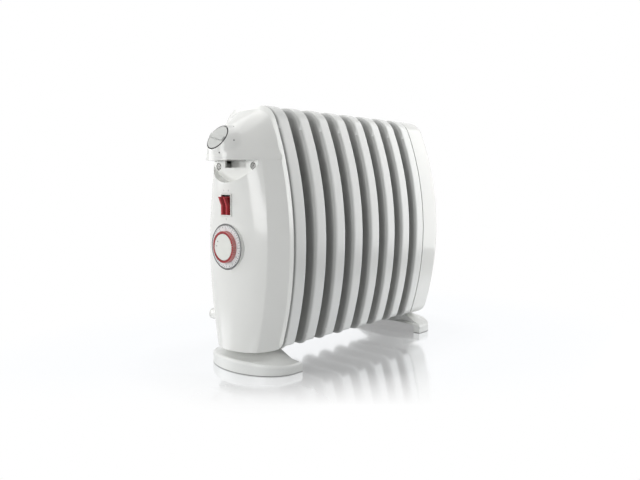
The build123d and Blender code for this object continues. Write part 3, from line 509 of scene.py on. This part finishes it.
def seat(point, outward, upward):
    """Placing matrix with Z pointing outwards and Y as near as can be to upward."""
    rise = (upward - outward * upward.dot(outward)).normalized()
    turn = Matrix((rise.cross(outward), rise, outward)).transposed()
    return Matrix.Translation(point) @ turn.to_4x4()


def touch(part, start, direction):
    """Point and outward direction where a straight line meets a part."""
    found, point, outward, _ = part.ray_cast(start, direction)
    if not found:
        raise RuntimeError(f"no surface of {part.name} lies ahead of {tuple(start)}")
    return point, outward


def dress(nodes, material):
    """Gives parts of the model their finish."""
    for node in nodes:
        mesh = frame["nodes"][node].data
        mesh.materials.clear()
        mesh.materials.append(material)


def nodes_of(slot):
    """Names of the parts in a material slot."""
    return [part["node"] for part in frame["record"]["subparts"] if part["material_slot"] == slot]


def cross_head_screw(sizes, radius, reach):
    """Screw with a rounded head and a cross recess, standing along Z with its head's top at zero."""
    start_clean()
    bpy.ops.mesh.primitive_cylinder_add(vertices=48, radius=radius, depth=sizes.head_height)
    screw = bpy.context.object
    half = sizes.head_height / 2
    bpy.ops.object.mode_set(mode="EDIT")
    pick_faces(looks_up)
    bpy.ops.mesh.bevel(offset=half, segments=5)
    pick_faces(looks_down)
    bpy.ops.mesh.inset(thickness=radius - sizes.shank_radius)
    raise_faces(sizes.head_height + sizes.tip - reach)
    raise_faces(-sizes.tip)
    bpy.ops.transform.resize(value=(0.45, 0.45, 1.0))
    bpy.ops.mesh.select_all(action="SELECT")
    bpy.ops.transform.translate(value=(0.0, 0.0, -half))
    close_edit()
    for turn in (0.0, FULL_TURN / 4):
        cut_recess(screw, sizes, radius, turn)
    bpy.ops.object.shade_smooth_by_angle(angle=math.radians(35))
    return screw


def cut_recess(screw, sizes, radius, turn):
    """Cuts one tapered bar of the cross out of a screw's head."""
    start_clean()
    bpy.ops.mesh.primitive_cube_add(size=1.0, rotation=(0.0, 0.0, turn))
    bar = bpy.context.object
    bar.scale = (radius * sizes.cross_share * 2, sizes.cross_width, sizes.cross_depth * 2)
    bpy.ops.object.mode_set(mode="EDIT")
    pick_faces(looks_down)
    bpy.ops.transform.resize(value=(0.55, 0.8, 1.0))
    close_edit()
    start_clean()
    screw.select_set(True)
    bpy.context.view_layer.objects.active = screw
    cut = screw.modifiers.new("recess", "BOOLEAN")
    cut.operation = "DIFFERENCE"
    cut.object = bar
    bpy.ops.object.modifier_apply(modifier=cut.name)
    bpy.data.objects.remove(bar)


def ink_tick(width, reach, thickness):
    """Printed stroke with rounded ends, lying on the XY plane along Y."""
    start_clean()
    bpy.ops.mesh.primitive_plane_add(size=1.0)
    bpy.ops.object.mode_set(mode="EDIT")
    bpy.ops.transform.resize(value=(width, reach, 1.0))
    rounding = 0.45 * width
    bpy.ops.mesh.bevel(affect="VERTICES", offset=rounding, segments=3)
    bpy.ops.mesh.select_all(action="SELECT")
    raise_faces(thickness)
    close_edit()
    return bpy.context.object


def ink_dot(radius, thickness):
    """Printed round dot, lying on the XY plane."""
    start_clean()
    bpy.ops.mesh.primitive_circle_add(vertices=28, radius=radius, fill_type="NGON")
    bpy.ops.object.mode_set(mode="EDIT")
    bpy.ops.mesh.select_all(action="SELECT")
    raise_faces(thickness)
    rim = 0.15 * radius
    bpy.ops.mesh.inset(thickness=rim)
    close_edit()
    return bpy.context.object


def ink_text(words, height, thickness):
    """Printed figures as a mesh, centred on the XY plane."""
    start_clean()
    bpy.ops.object.text_add()
    text = bpy.context.object
    text.data.body = words
    text.data.size = height
    text.data.extrude = thickness / 2
    text.data.resolution_u = 3
    text.data.align_x = "CENTER"
    text.data.align_y = "CENTER"
    bpy.ops.object.convert(target="MESH")
    return bpy.context.object


def oval_skirt(place, inner, outer, wall=0.0):
    """Flat oval rings at a place, round a short wall where one is asked for."""
    start_clean()
    bpy.ops.mesh.primitive_circle_add(vertices=SKIRT_SIDES, radius=1.0, location=(0.0, 0.0, -wall))
    skirt = bpy.context.object
    bpy.ops.object.transform_apply(location=True)
    bpy.ops.object.mode_set(mode="EDIT")
    bpy.ops.mesh.select_all(action="SELECT")
    bpy.ops.transform.resize(value=(inner.x, inner.y, 1.0))
    if wall:
        bpy.ops.mesh.extrude_edges_move(TRANSFORM_OT_translate={"value": (0.0, 0.0, wall)})
    reach = inner
    for ring in range(SKIRT_RINGS):
        wider = inner.lerp(outer, (ring + 1) / SKIRT_RINGS)
        bpy.ops.mesh.extrude_edges_move()
        bpy.ops.transform.resize(value=(wider.x / reach.x, wider.y / reach.y, 1.0))
        reach = wider
    close_edit()
    skirt.matrix_world = place
    return skirt


def lay_skirt(skirt, part, hollow):
    """Lowers the rings on to a part, from not at all at the inner edge to fully at the outer.

    The slope is straight where hollow is 1 and sags more the larger it is.
    """
    held = skirt.vertex_groups.new(name="on_part")
    outermost = len(skirt.data.vertices) // SKIRT_SIDES - 1
    for vertex in skirt.data.vertices:
        left = min(1.0, (outermost - vertex.index // SKIRT_SIDES) / SKIRT_RINGS)
        held.add([vertex.index], 1 - left**hollow, "REPLACE")
    bpy.context.view_layer.update()
    wrap = skirt.modifiers.new("wrap", "SHRINKWRAP")
    wrap.target = part
    wrap.wrap_method = "PROJECT"
    wrap.use_project_z = True
    wrap.use_negative_direction = True
    wrap.use_positive_direction = True
    wrap.vertex_group = held.name
    bpy.ops.object.modifier_apply(modifier=wrap.name)
    settle(skirt, skirt.matrix_world.copy())


def thicken(skirt, thickness):
    """Gives a sheet its thickness, on its inner side."""
    sheet = skirt.modifiers.new("sheet", "SOLIDIFY")
    sheet.thickness = thickness
    sheet.offset = -1.0
    bpy.ops.object.modifier_apply(modifier=sheet.name)
    bpy.ops.object.shade_smooth_by_angle(angle=math.radians(40))


# Sizes and colours that a user would change


def shade(label, words, colour):
    """Setting that holds a colour."""
    return bpy.props.FloatVectorProperty(
        name=label, description=words, subtype="COLOR", size=3, min=0.0, max=1.0, default=colour)


def length(label, words, size, least=0.0):
    """Setting that holds a length, given in millimetres."""
    return bpy.props.FloatProperty(
        name=label, description=words, subtype="DISTANCE", unit="LENGTH", min=least * MM, default=size * MM)


def angle(label, words, degrees):
    """Setting that holds an angle, given in degrees."""
    return bpy.props.FloatProperty(
        name=label, description=words, subtype="ANGLE", unit="ROTATION", default=math.radians(degrees))


def power(label, words, watts):
    """Setting that holds a lamp's power."""
    return bpy.props.FloatProperty(name=label, description=words, unit="POWER", min=0.0, default=watts)


class HeaterFinish(bpy.types.PropertyGroup):
    """Colours of the heater's parts."""

    enamel: shade("Enamel", "Colour of the fins", (0.80, 0.81, 0.79))
    shell: shade("Covers", "Colour of the moulded covers", (0.81, 0.815, 0.79))
    foot: shade("Feet", "Colour of the feet", (0.80, 0.81, 0.79))
    knob: shade("Knob Face", "Colour of the thermostat knob", (0.52, 0.53, 0.51))
    # the colour below is the painted shade round the knob's edge
    knob_edge: shade("Knob Edge", "Colour of the line round the knob", (0.07, 0.07, 0.07))
    dial: shade("Dial", "Colour of the timer's ring", (0.78, 0.79, 0.79))
    cap: shade("Cap", "Colour of the timer's middle", (0.76, 0.77, 0.73))
    tappet: shade("Tappets", "Colour of the timer's tappets", (0.42, 0.045, 0.05))
    # the colour below is the painted highlight along the tappets' outer edge
    tappet_edge: shade("Tappet Edge", "Colour of the tappets' thin outer edge", (0.66, 0.27, 0.26))
    rocker: shade("Rockers", "Colour of the switch rockers", (0.17, 0.002, 0.005))
    # the colour below is the painted highlight on the rockers
    rocker_edge: shade("Rocker Edges", "Colour of the rockers where they are thin", (0.56, 0.07, 0.085))
    switch: shade("Switch Frame", "Colour of the frame round the rockers", (0.74, 0.75, 0.72))
    black: shade("Black Mouldings", "Colour of the inner mouldings", (0.02, 0.02, 0.02))
    plating: shade("Plating", "Colour of the plated screws", (0.34, 0.34, 0.33))
    zinc: shade("Zinc Sheet", "Colour of the plates and rods", (0.56, 0.57, 0.58))
    brass: shade("Brass", "Colour of the shafts and terminals", (0.72, 0.52, 0.22))
    sleeve: shade("Wire Sleeves", "Colour of the inner wires", (0.30, 0.29, 0.28))
    gland: shade("Cord Gland", "Colour of the cord's inlet", (0.74, 0.74, 0.71))
    # the ink colour below also colours the ring of painted shade round the dial
    ink: shade("Ink", "Colour of the printed marks", (0.10, 0.10, 0.105))


class HeaterSizes(bpy.types.PropertyGroup):
    """Sizes of the screws, the collar, the flares, the printed marks and the painted shade of the finishes."""

    # the setting below is the width of the painted shade along the front seam
    seam_line: length("Seam Line", "Width of the dusty edge along the front seam", 0.8)
    # the setting below is the height of the painted contact shadow under the feet
    foot_line: length("Foot Line", "Height of the scuffed edge under the feet", 1.0)
    # the fin sizes below only shape the painted shade between the fins
    fin_bow: length("Fin Bow", "Radius of the fins' bowed sides", 430.0)
    fin_widest: length("Widest Height", "Height at which the fins are widest", 175.0)
    fin_top_corner: length("Top Corner", "Radius of the fins' upper corners", 32.0)
    fin_bottom_corner: length("Bottom Corner", "Radius of the fins' lower corners", 18.0)
    head_height: length("Head Height", "Height of a cover screw's head", 2.4)
    shank_radius: length("Shank Radius", "Half of a screw's thickness", 1.9)
    tip: length("Tip", "Length of a screw's pointed end", 2.0)
    cross_width: length("Recess Width", "Width of one bar of the cross recess", 1.0)
    cross_depth: length("Recess Depth", "Depth of the cross recess", 1.5)
    cross_share: bpy.props.FloatProperty(
        name="Recess Reach", description="Share of the head that the cross spans", subtype="FACTOR",
        min=0.1, max=0.9, default=0.62)
    ink: length("Ink Thickness", "How far a printed mark stands proud", 0.06)
    stroke: length("Stroke", "Width of a printed stroke", 0.8)
    hour_tick: length("Hour Tick", "Length of the dial's hour ticks", 2.2)
    half_tick: length("Half Hour Tick", "Length of the dial's ticks between hours", 1.3)
    tick_margin: length("Tick Margin", "Distance of the ticks from the dial's edge", 0.7)
    figure: length("Dial Figures", "Height of the dial's numbers", 2.9)
    collar_gap: length("Collar Gap", "Distance of the collar from the knob", 0.9)
    collar_proud: length("Collar Height", "Height of the collar's rim over the knob's seat", 0.9)
    collar_wall: length("Collar Wall", "Depth of the collar's inner wall", 6.0)
    collar_width: length("Collar Width", "Width in which the collar runs into the dome's sides", 12.0)
    collar_rise: length("Collar Rise", "Width in which the collar runs into the dome above and below", 7.0)
    collar_sheet: length("Collar Sheet", "Thickness of the collar and of the feet's flares", 0.4)
    neck_half: length("Neck Half Width", "Half the width of the flares' upper edge", 42.5)
    neck_depth: length("Neck Depth", "Half the depth of the flares' upper edge", 19.5)
    foot_reach: length("Foot Reach", "From the middle of a foot's neck out to its rim", 50.0)
    flare_edge: length("Flare Edge", "From the rim of a foot in to the flare's lower edge", 4.6)
    flare_drop: length("Flare Drop", "From the top of a foot's neck down to the flare's upper edge", 2.0)
    flare_foot: length("Flare Foot", "Height at which a flare's end walls stop inside the foot", 14.0)
    flare_end: length("Flare End", "From the middle of a foot's neck in to the flare's cut end", 10.0)
    # the three ring settings below place the ring of painted shade round the dial
    ring_gap: length("Ring Gap", "Distance of the dark ring from the dial", 1.0)
    ring_width: length("Ring Width", "Width of the dark ring round the dial", 1.5)
    ring_clear: length("Ring Clearance", "Distance from which the ring's seat is found", 20.0)
    heat_dot: length("Heat Dot", "Radius of the largest dot round the knob", 1.0)
    heat_ring: length("Heat Ring", "Radius of the ring of dots round the knob", 24.5)
    switch_figure: length("Switch Figures", "Height of the marks by the switch", 3.4)
    switch_margin: length("Switch Margin", "Distance of the marks from the switch", 4.0)
    cap_dot: length("Cap Dot", "Radius of the marks on the timer's middle", 0.8)


class HeaterStage(bpy.types.PropertyGroup):
    """Camera, lamps and floor."""

    eye: bpy.props.FloatVectorProperty(
        name="Camera Place", description="Where the camera stands", subtype="TRANSLATION", unit="LENGTH",
        default=(0.6473, -0.7207, 0.2577))
    turn: angle("Camera Turn", "Angle of the camera about the upright axis", 42.5)
    tilt: angle("Camera Tilt", "How far the camera looks down", 5.391)
    lens: bpy.props.FloatProperty(
        name="Lens", description="Focal length in millimetres", unit="CAMERA", min=1.0, default=34.70)
    top_light: power("Top Light", "Power of the softbox overhead", 15.0)
    left_light: power("Left Light", "Power of the softbox on the left", 14.5)
    front_light: power("Front Light", "Power of the softbox in front", 11.6)
    rear_light: power("Rear Light", "Power of the softbox behind on the right", 2.8)
    ambient: bpy.props.FloatProperty(
        name="Room Light", description="Strength of the light from all round", min=0.0, default=0.06)
    floor: shade("Floor", "Colour of the floor", (0.78, 0.79, 0.80))
    sheen: shade("Floor Sheen", "Colour of the floor's reflection", (0.965, 0.98, 1.0))
    floor_size: length("Floor Size", "Width of the floor", 8000.0)
    fade: length("Floor Fade", "Distance in which the heater's shadow fades", 140.0)
    gloss_edge: length(
        "Gloss Edge", "Where the floor's gloss begins, along the camera's line", -275.0, least=-8000.0)
    gloss_fade: length("Gloss Fade", "Distance in which the floor's gloss becomes full", 130.0)
    gloss_reach: length("Gloss Reach", "How far round the heater the floor is glossy", 200.0)


# Operators


class HEATER_OT_fins(bpy.types.Operator):
    """Give the fins their stove enamel"""

    bl_idname = "heater.fins"
    bl_label = "Finish Fins"

    def execute(self, context):
        finish = context.scene.heater_finish
        dress(nodes_of("fin_enamel"), stove_enamel(finish.enamel, context.scene.heater_sizes))
        return {"FINISHED"}


class HEATER_OT_housing(bpy.types.Operator):
    """Give the covers, the feet and the cord gland their moulded finish"""

    bl_idname = "heater.housing"
    bl_label = "Finish Housing"

    def execute(self, context):
        finish = context.scene.heater_finish
        dress(nodes_of("shell_white"), cover_plastic(finish.shell, context.scene.heater_sizes.seam_line))
        dress(nodes_of("foot_white"), foot_plastic(finish.foot, context.scene.heater_sizes.foot_line))
        dress(nodes_of("gland_rubber"), dull_moulding("gland_moulding", finish.gland, 0.5))
        return {"FINISHED"}


class HEATER_OT_controls(bpy.types.Operator):
    """Give the knob, the switch and the timer their finishes"""

    bl_idname = "heater.controls"
    bl_label = "Finish Controls"

    def execute(self, context):
        finish = context.scene.heater_finish
        dress(nodes_of("knob_grey"), knob_plastic(finish.knob, finish.knob_edge))
        dress(nodes_of("dial_white"), moulded_plastic("dial_plastic", finish.dial, 0.34))
        dress(nodes_of("cap_cream"), moulded_plastic("cap_plastic", finish.cap, 0.28))
        dress(nodes_of("tappet_red"), tappet_plastic(finish.tappet, finish.tappet_edge))
        dress(nodes_of("rocker_red"), rocker_plastic(finish.rocker, finish.rocker_edge))
        dress(nodes_of("switch_frame"), switch_plastic(finish.switch, finish.black))
        return {"FINISHED"}


class HEATER_OT_inner_parts(bpy.types.Operator):
    """Give the plates, rods, wiring and other inner parts their finishes"""

    bl_idname = "heater.inner_parts"
    bl_label = "Finish Inner Parts"

    def execute(self, context):
        finish = context.scene.heater_finish
        dress(nodes_of("moulding_black"), dull_moulding("black_moulding", finish.black, 0.5))
        dress(nodes_of("wire_sleeve"), dull_moulding("wire_sleeve", finish.sleeve, 0.55))
        dress(nodes_of("bare_steel"), galvanised_sheet(finish.zinc))
        dress(nodes_of("brass"), polished_metal("turned_brass", finish.brass, 0.24, 900.0))
        dress(nodes_of("plated_steel"), polished_metal("bright_plating", finish.plating, 0.3, 1600.0))
        return {"FINISHED"}


class HEATER_OT_screws(bpy.types.Operator):
    """Model the cross head screws of both covers"""

    bl_idname = "heater.screws"
    bl_label = "Add Cover Screws"

    LEANS = (math.radians(20), math.radians(-35))

    def execute(self, context):
        sizes = context.scene.heater_sizes
        plating = bpy.data.materials["bright_plating"]
        for node, outward in (("cover_screws", -ALONG), ("rear_cover_screws", ALONG)):
            low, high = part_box(node)
            radius = (high.z - low.z) / 2
            head_y = low.y if outward.y < 0 else high.y
            model = cross_head_screw(sizes, radius, high.y - low.y)
            copies = []
            for x, lean in zip((low.x + radius, high.x - radius), self.LEANS):
                point = Vector((x, head_y, low.z + radius))
                copies.append(copy_to(model, seat(point, outward, UP) @ Matrix.Rotation(lean, 4, "Z")))
            bpy.data.objects.remove(model)
            pair = join_all(f"{node}_cross_head", copies)
            fasten(pair, "radiator", plating)
            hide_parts(node)
        return {"FINISHED"}


class HEATER_OT_dial_scale(bpy.types.Operator):
    """Print the ticks and hours on the timer's ring, and lay a ring of painted shade round it"""

    bl_idname = "heater.dial_scale"
    bl_label = "Print Dial Scale"

    HOURS = 24
    FIGURE_SHARE = 0.62  # of a figure's height, from the ticks in to its middle

    def execute(self, context):
        sizes = context.scene.heater_sizes
        ink = printing_ink(context.scene.heater_finish.ink)
        low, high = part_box("timer_dial")
        radius = (high.x - low.x) / 2
        centre = Vector(JOINTS["timer_turn"]["pos_m"])
        edge = radius - sizes.tick_margin
        marks = []
        for first, size in ((0.0, sizes.hour_tick), (0.5, sizes.half_tick)):
            tick = ink_tick(sizes.stroke, size, sizes.ink)
            settle(tick, self.place(centre, first, edge - size / 2))
            self.repeat(centre)
            marks.append(tick)
        for hour in range(2, self.HOURS + 1, 2):
            figure = ink_text(str(hour), sizes.figure, sizes.ink)
            reach = edge - sizes.hour_tick - sizes.figure * self.FIGURE_SHARE
            marks.append(settle(figure, self.place(centre, hour, reach)))
        scale = join_all("timer_dial_scale", marks)
        fasten(scale, "timer", ink)
        # the ring of painted shade round the dial, in the ink's colour
        self.surround(centre, radius, sizes, ink)
        return {"FINISHED"}

    def surround(self, centre, radius, sizes, ink):
        """Ring of painted shade on the rim round the dial, in place of the shadow in the gap round it."""
        inner = radius + sizes.ring_gap
        start = centre + ACROSS * (inner + sizes.ring_width / 2) - ALONG * sizes.ring_clear
        point, _ = touch(frame["nodes"]["front_cover"], start, ALONG)
        start_clean()
        bpy.ops.mesh.primitive_circle_add(vertices=128, radius=inner)
        bpy.ops.object.mode_set(mode="EDIT")
        bpy.ops.mesh.select_all(action="SELECT")
        bpy.ops.mesh.extrude_edges_move()
        bpy.ops.transform.resize(value=(1 + sizes.ring_width / inner,) * 3)
        bpy.ops.mesh.select_all(action="SELECT")
        raise_faces(sizes.ink)
        close_edit()
        ring = settle(bpy.context.object, seat(Vector((centre.x, point.y, centre.z)), -ALONG, UP))
        fasten(join_all("timer_surround_ring", [ring]), "radiator", ink)

    def place(self, centre, hour, reach):
        """Where a mark of an hour lies on the ring."""
        turn = hour / self.HOURS * FULL_TURN
        outwards = ACROSS * math.sin(turn) + UP * math.cos(turn)
        return seat(centre + outwards * reach, -ALONG, outwards)

    def repeat(self, centre):
        """Copies the active tick to every hour."""
        steps = self.HOURS - 1
        bpy.ops.object.mode_set(mode="EDIT")
        bpy.ops.mesh.select_all(action="SELECT")
        bpy.ops.mesh.spin(
            steps=steps, dupli=True, angle=FULL_TURN * steps / self.HOURS, center=centre, axis=ALONG)
        close_edit()


class HEATER_OT_knob_collar(bpy.types.Operator):
    """Model the collar that blends the dome into the plane of the thermostat knob"""

    bl_idname = "heater.knob_collar"
    bl_label = "Add Knob Collar"

    HOLLOW = 2.0

    def execute(self, context):
        sizes = context.scene.heater_sizes
        joint = JOINTS["thermostat_turn"]
        outward = Vector(joint["axis"])
        low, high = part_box("thermostat_knob")
        inner = Vector((1.0, 1.0)) * ((high.x - low.x) / 2 + sizes.collar_gap)
        outer = inner + Vector((sizes.collar_width, sizes.collar_rise))
        place = seat(Vector(joint["pos_m"]) + outward * sizes.collar_proud, outward, UP)
        collar = oval_skirt(place, inner, outer, sizes.collar_wall)
        lay_skirt(collar, frame["nodes"]["front_cover"], self.HOLLOW)
        thicken(collar, sizes.collar_sheet)
        join_all("thermostat_collar", [collar])
        fasten(collar, "radiator", bpy.data.materials["cover_plastic"])
        return {"FINISHED"}


class HEATER_OT_foot_flares(bpy.types.Operator):
    """Model the flare from the neck of each foot down to its rim"""

    bl_idname = "heater.foot_flares"
    bl_label = "Add Foot Flares"

    HOLLOW = 1.4

    def execute(self, context):
        sizes = context.scene.heater_sizes
        neck = Vector((sizes.neck_half, sizes.neck_depth))
        for name, inward in (("front_foot", 1.0), ("rear_foot", -1.0)):
            low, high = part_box(name)
            centre = low.y + sizes.foot_reach if inward > 0.0 else high.y - sizes.foot_reach
            rim = Vector((high.x, sizes.foot_reach)) - Vector((1.0, 1.0)) * sizes.flare_edge
            place = Matrix.Translation((0.0, centre, high.z - sizes.flare_drop))
            flare = oval_skirt(place, neck, rim)
            lay_skirt(flare, frame["nodes"][name], self.HOLLOW)
            self.trim(centre + inward * sizes.flare_end, inward, sizes.flare_foot)
            thicken(flare, sizes.collar_sheet)
            join_all(f"{name}_flare", [flare])
            fasten(flare, "radiator", bpy.data.materials["foot_plastic"])
        return {"FINISHED"}

    def trim(self, end, inward, level):
        """Cuts the flare off on the foot's inner side and closes the cut with a wall down into the foot."""
        bpy.ops.object.mode_set(mode="EDIT")
        bpy.ops.mesh.select_all(action="SELECT")
        bpy.ops.mesh.bisect(plane_co=(0.0, end, 0.0), plane_no=(0.0, inward, 0.0), clear_outer=True)
        bpy.ops.mesh.select_mode(type="EDGE")
        bpy.ops.mesh.extrude_edges_move()
        bpy.ops.transform.resize(value=(1.0, 1.0, 0.0), center_override=(0.0, end, level))
        close_edit()


class HEATER_OT_heat_dots(bpy.types.Operator):
    """Print the dots of the heat scale round the thermostat knob"""

    bl_idname = "heater.heat_dots"
    bl_label = "Print Heat Dots"

    COUNT = 6
    STEP = math.radians(60)
    SMALLEST = 0.55  # share of the largest dot
    CLEAR = 40 * MM  # how far out the search for the collar starts

    def execute(self, context):
        sizes = context.scene.heater_sizes
        joint = JOINTS["thermostat_turn"]
        outward = Vector(joint["axis"])
        rise = outward.cross(ACROSS)
        centre = Vector(joint["pos_m"])
        collar = bpy.data.objects["thermostat_collar"]
        dots = []
        for count in range(self.COUNT):
            turn = (count - (self.COUNT - 1) / 2) * self.STEP
            side = ACROSS * math.sin(turn) + rise * math.cos(turn)
            start = centre + side * sizes.heat_ring + outward * self.CLEAR
            point, normal = touch(collar, start, -outward)
            radius = sizes.heat_dot * (self.SMALLEST + (1 - self.SMALLEST) * count / (self.COUNT - 1))
            dots.append(settle(ink_dot(radius, sizes.ink), seat(point, normal, rise)))
        scale = join_all("thermostat_heat_dots", dots)
        fasten(scale, "radiator", bpy.data.materials["printing_ink"])
        return {"FINISHED"}


class HEATER_OT_switch_marks(bpy.types.Operator):
    """Print the plain figures above and below the switch"""

    bl_idname = "heater.switch_marks"
    bl_label = "Print Switch Marks"

    CLEAR = 60 * MM  # how far out the search for the cover starts

    def execute(self, context):
        sizes = context.scene.heater_sizes
        low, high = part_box("switch_housing")
        middle = (low.x + high.x) / 2
        left = JOINTS["rocker_left_tilt"]["pos_m"][0]
        right = JOINTS["rocker_right_tilt"]["pos_m"][0]
        above = high.z + sizes.switch_margin
        below = low.z - sizes.switch_margin
        marks = []
        for words, x, z in (("I", left, above), ("II", right, above), ("0", middle, below)):
            point, normal = touch(frame["nodes"]["front_cover"], Vector((x, low.y - self.CLEAR, z)), ALONG)
            figure = ink_text(words, sizes.switch_figure, sizes.ink)
            marks.append(settle(figure, seat(point, normal, UP)))
        print_marks = join_all("switch_marks", marks)
        fasten(print_marks, "radiator", bpy.data.materials["printing_ink"])
        return {"FINISHED"}


class HEATER_OT_cap_marks(bpy.types.Operator):
    """Print the two setting marks on the timer's middle"""

    bl_idname = "heater.cap_marks"
    bl_label = "Print Cap Marks"

    ANGLES = (math.radians(-56), math.radians(-86))
    REACH = 0.72  # share of the cap's radius
    CLEAR = 20 * MM  # how far out the search for the cap starts

    def execute(self, context):
        sizes = context.scene.heater_sizes
        low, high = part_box("timer_cap")
        reach = (high.x - low.x) / 2 * self.REACH
        middle_z = (low.z + high.z) / 2
        marks = []
        for turn in self.ANGLES:
            x = reach * math.sin(turn)
            z = middle_z + reach * math.cos(turn)
            point, normal = touch(frame["nodes"]["timer_cap"], Vector((x, low.y - self.CLEAR, z)), ALONG)
            marks.append(settle(ink_dot(sizes.cap_dot, sizes.ink), seat(point, normal, UP)))
        print_marks = join_all("timer_cap_marks", marks)
        fasten(print_marks, "timer", bpy.data.materials["printing_ink"])
        return {"FINISHED"}


class HEATER_OT_stage(bpy.types.Operator):
    """Set the camera, the lamps, the floor and the white background"""

    bl_idname = "heater.stage"
    bl_label = "Set Stage"

    AIM = Vector((0.0, -0.05, 0.17))
    LAMPS = (  # name, place, width and height in metres, setting of its power
        ("top_softbox", (-0.2, -0.25, 1.7), (1.6, 1.6), "top_light"),
        ("left_softbox", (-1.5, -1.1, 0.9), (1.2, 1.4), "left_light"),
        ("front_softbox", (0.40, -1.75, 0.66), (0.65, 1.1), "front_light"),
        ("rear_softbox", (0.36, 0.47, 0.42), (0.5, 0.8), "rear_light"),
    )
    WHITE = (1.0, 1.0, 1.0, 1.0)
    CORE = (0.6, 0.8)  # shares of the heater's half width and half length, round which the floor fades
    SOFT = 0.55  # share of the fade in which the shadow goes
    SHADOW = 0.2  # how much of the shadow the white floor keeps
    GLOSS = 0.62  # how much the floor mirrors where its gloss is full

    def execute(self, context):
        stage = context.scene.heater_stage
        context.scene.view_settings.view_transform = "Standard"
        self.camera(context.scene, stage)
        for name, place, size, setting in self.LAMPS:
            self.lamp(name, place, size, getattr(stage, setting))
        self.floor(stage)
        self.background(context.scene, stage)
        return {"FINISHED"}

    def camera(self, scene, stage):
        """Camera that looks at the heater from its front right."""
        start_clean()
        bpy.ops.object.camera_add(
            location=stage.eye, rotation=(math.pi / 2 - stage.tilt, 0.0, stage.turn))
        scene.camera = bpy.context.object
        scene.camera.name = "photo_camera"
        scene.camera.data.lens = stage.lens

    def lamp(self, name, place, size, watts):
        """Rectangular softbox that faces the heater."""
        start_clean()
        bpy.ops.object.light_add(type="AREA", location=place)
        lamp = bpy.context.object
        lamp.name = name
        lamp.rotation_euler = (self.AIM - Vector(place)).to_track_quat("-Z", "Y").to_euler()
        lamp.data.shape = "RECTANGLE"
        lamp.data.size, lamp.data.size_y = size
        lamp.data.energy = watts
        lamp.visible_camera = False

    def floor(self, stage):
        """White floor that mirrors the heater softly near its feet and fades to plain white."""
        start_clean()
        bpy.ops.mesh.primitive_plane_add(size=stage.floor_size)
        floor = bpy.context.object
        floor.name = "studio_floor"
        material = bpy.data.materials.new("studio_floor")
        material.use_nodes = True
        tree = material.node_tree
        tree.nodes.clear()
        place = Socket(tree.nodes.new("ShaderNodeTexCoord").outputs["Object"])
        high = Vector(CAD_BOX[1])
        beside = (abs(place.axis("X")) - high.x * self.CORE[0]).either(0.0)
        beyond = (abs(place.axis("Y")) - high.y * self.CORE[1]).either(0.0)
        distance = (beside * beside + beyond * beyond) ** 0.5
        near = ((stage.fade - distance) / (self.SOFT * stage.fade)).clear()
        ahead = place.axis("Y") * math.cos(stage.turn) - place.axis("X") * math.sin(stage.turn)
        polished = ((ahead - stage.gloss_edge) / stage.gloss_fade).clear()
        polished = polished * (2 - distance / stage.gloss_reach).clear()
        white = place.node("ShaderNodeEmission", {}, {"Color": self.WHITE})
        matt = place.node("ShaderNodeBsdfDiffuse", {}, {"Color": solid(stage.floor)})
        gloss = place.node("ShaderNodeBsdfGlossy", {}, {"Color": solid(stage.sheen), "Roughness": 0.11})
        shown = place.node("ShaderNodeMixShader", {}, {0: self.SHADOW * near, 1: white, 2: matt})
        shown = place.node("ShaderNodeMixShader", {}, {0: self.GLOSS * polished, 1: shown, 2: gloss})
        surface = place.node("ShaderNodeMixShader", {}, {0: seen_rays(tree), 1: matt, 2: shown})
        feed(tree.nodes.new("ShaderNodeOutputMaterial"), {"Surface": surface})
        floor.data.materials.append(material)

    def background(self, scene, stage):
        """White all round for the camera and for reflections, and softer as a light."""
        world = bpy.data.worlds.new("studio_room")
        scene.world = world
        world.use_nodes = True
        tree = world.node_tree
        strength = stage.ambient + (1.0 - stage.ambient) * seen_rays(tree)
        feed(tree.nodes["Background"], {"Color": self.WHITE, "Strength": strength})


class HEATER_PT_build(bpy.types.Panel):
    """Lists the steps that dress the heater and their settings"""

    bl_idname = "HEATER_PT_build"
    bl_label = "Radiator Heater"
    bl_space_type = "VIEW_3D"
    bl_region_type = "UI"
    bl_category = "Heater"

    def draw(self, context):
        column = self.layout.column()
        for step in STEPS:
            column.operator(step.bl_idname)
        for group in GROUPS:
            settings = getattr(context.scene, group)
            for name in settings.bl_rna.properties.keys():
                if name not in ("rna_type", "name"):
                    column.prop(settings, name)


STEPS = (
    HEATER_OT_fins,
    HEATER_OT_housing,
    HEATER_OT_controls,
    HEATER_OT_inner_parts,
    HEATER_OT_screws,
    HEATER_OT_dial_scale,
    HEATER_OT_knob_collar,
    HEATER_OT_foot_flares,
    HEATER_OT_heat_dots,
    HEATER_OT_switch_marks,
    HEATER_OT_cap_marks,
    HEATER_OT_stage,
)
GROUPS = {"heater_finish": HeaterFinish, "heater_sizes": HeaterSizes, "heater_stage": HeaterStage}


def register():
    for kind in (*GROUPS.values(), *STEPS, HEATER_PT_build):
        bpy.utils.register_class(kind)
    for name, kind in GROUPS.items():
        setattr(bpy.types.Scene, name, bpy.props.PointerProperty(type=kind))


def unregister():
    for name in GROUPS:
        delattr(bpy.types.Scene, name)
    for kind in (HEATER_PT_build, *reversed(STEPS), *reversed(GROUPS.values())):
        bpy.utils.unregister_class(kind)


def main():
    """Builds the whole scene in order."""
    register()
    for step in STEPS:
        area, action = step.bl_idname.split(".")
        getattr(getattr(bpy.ops, area), action)()


if __name__ == "__main__":
    main()
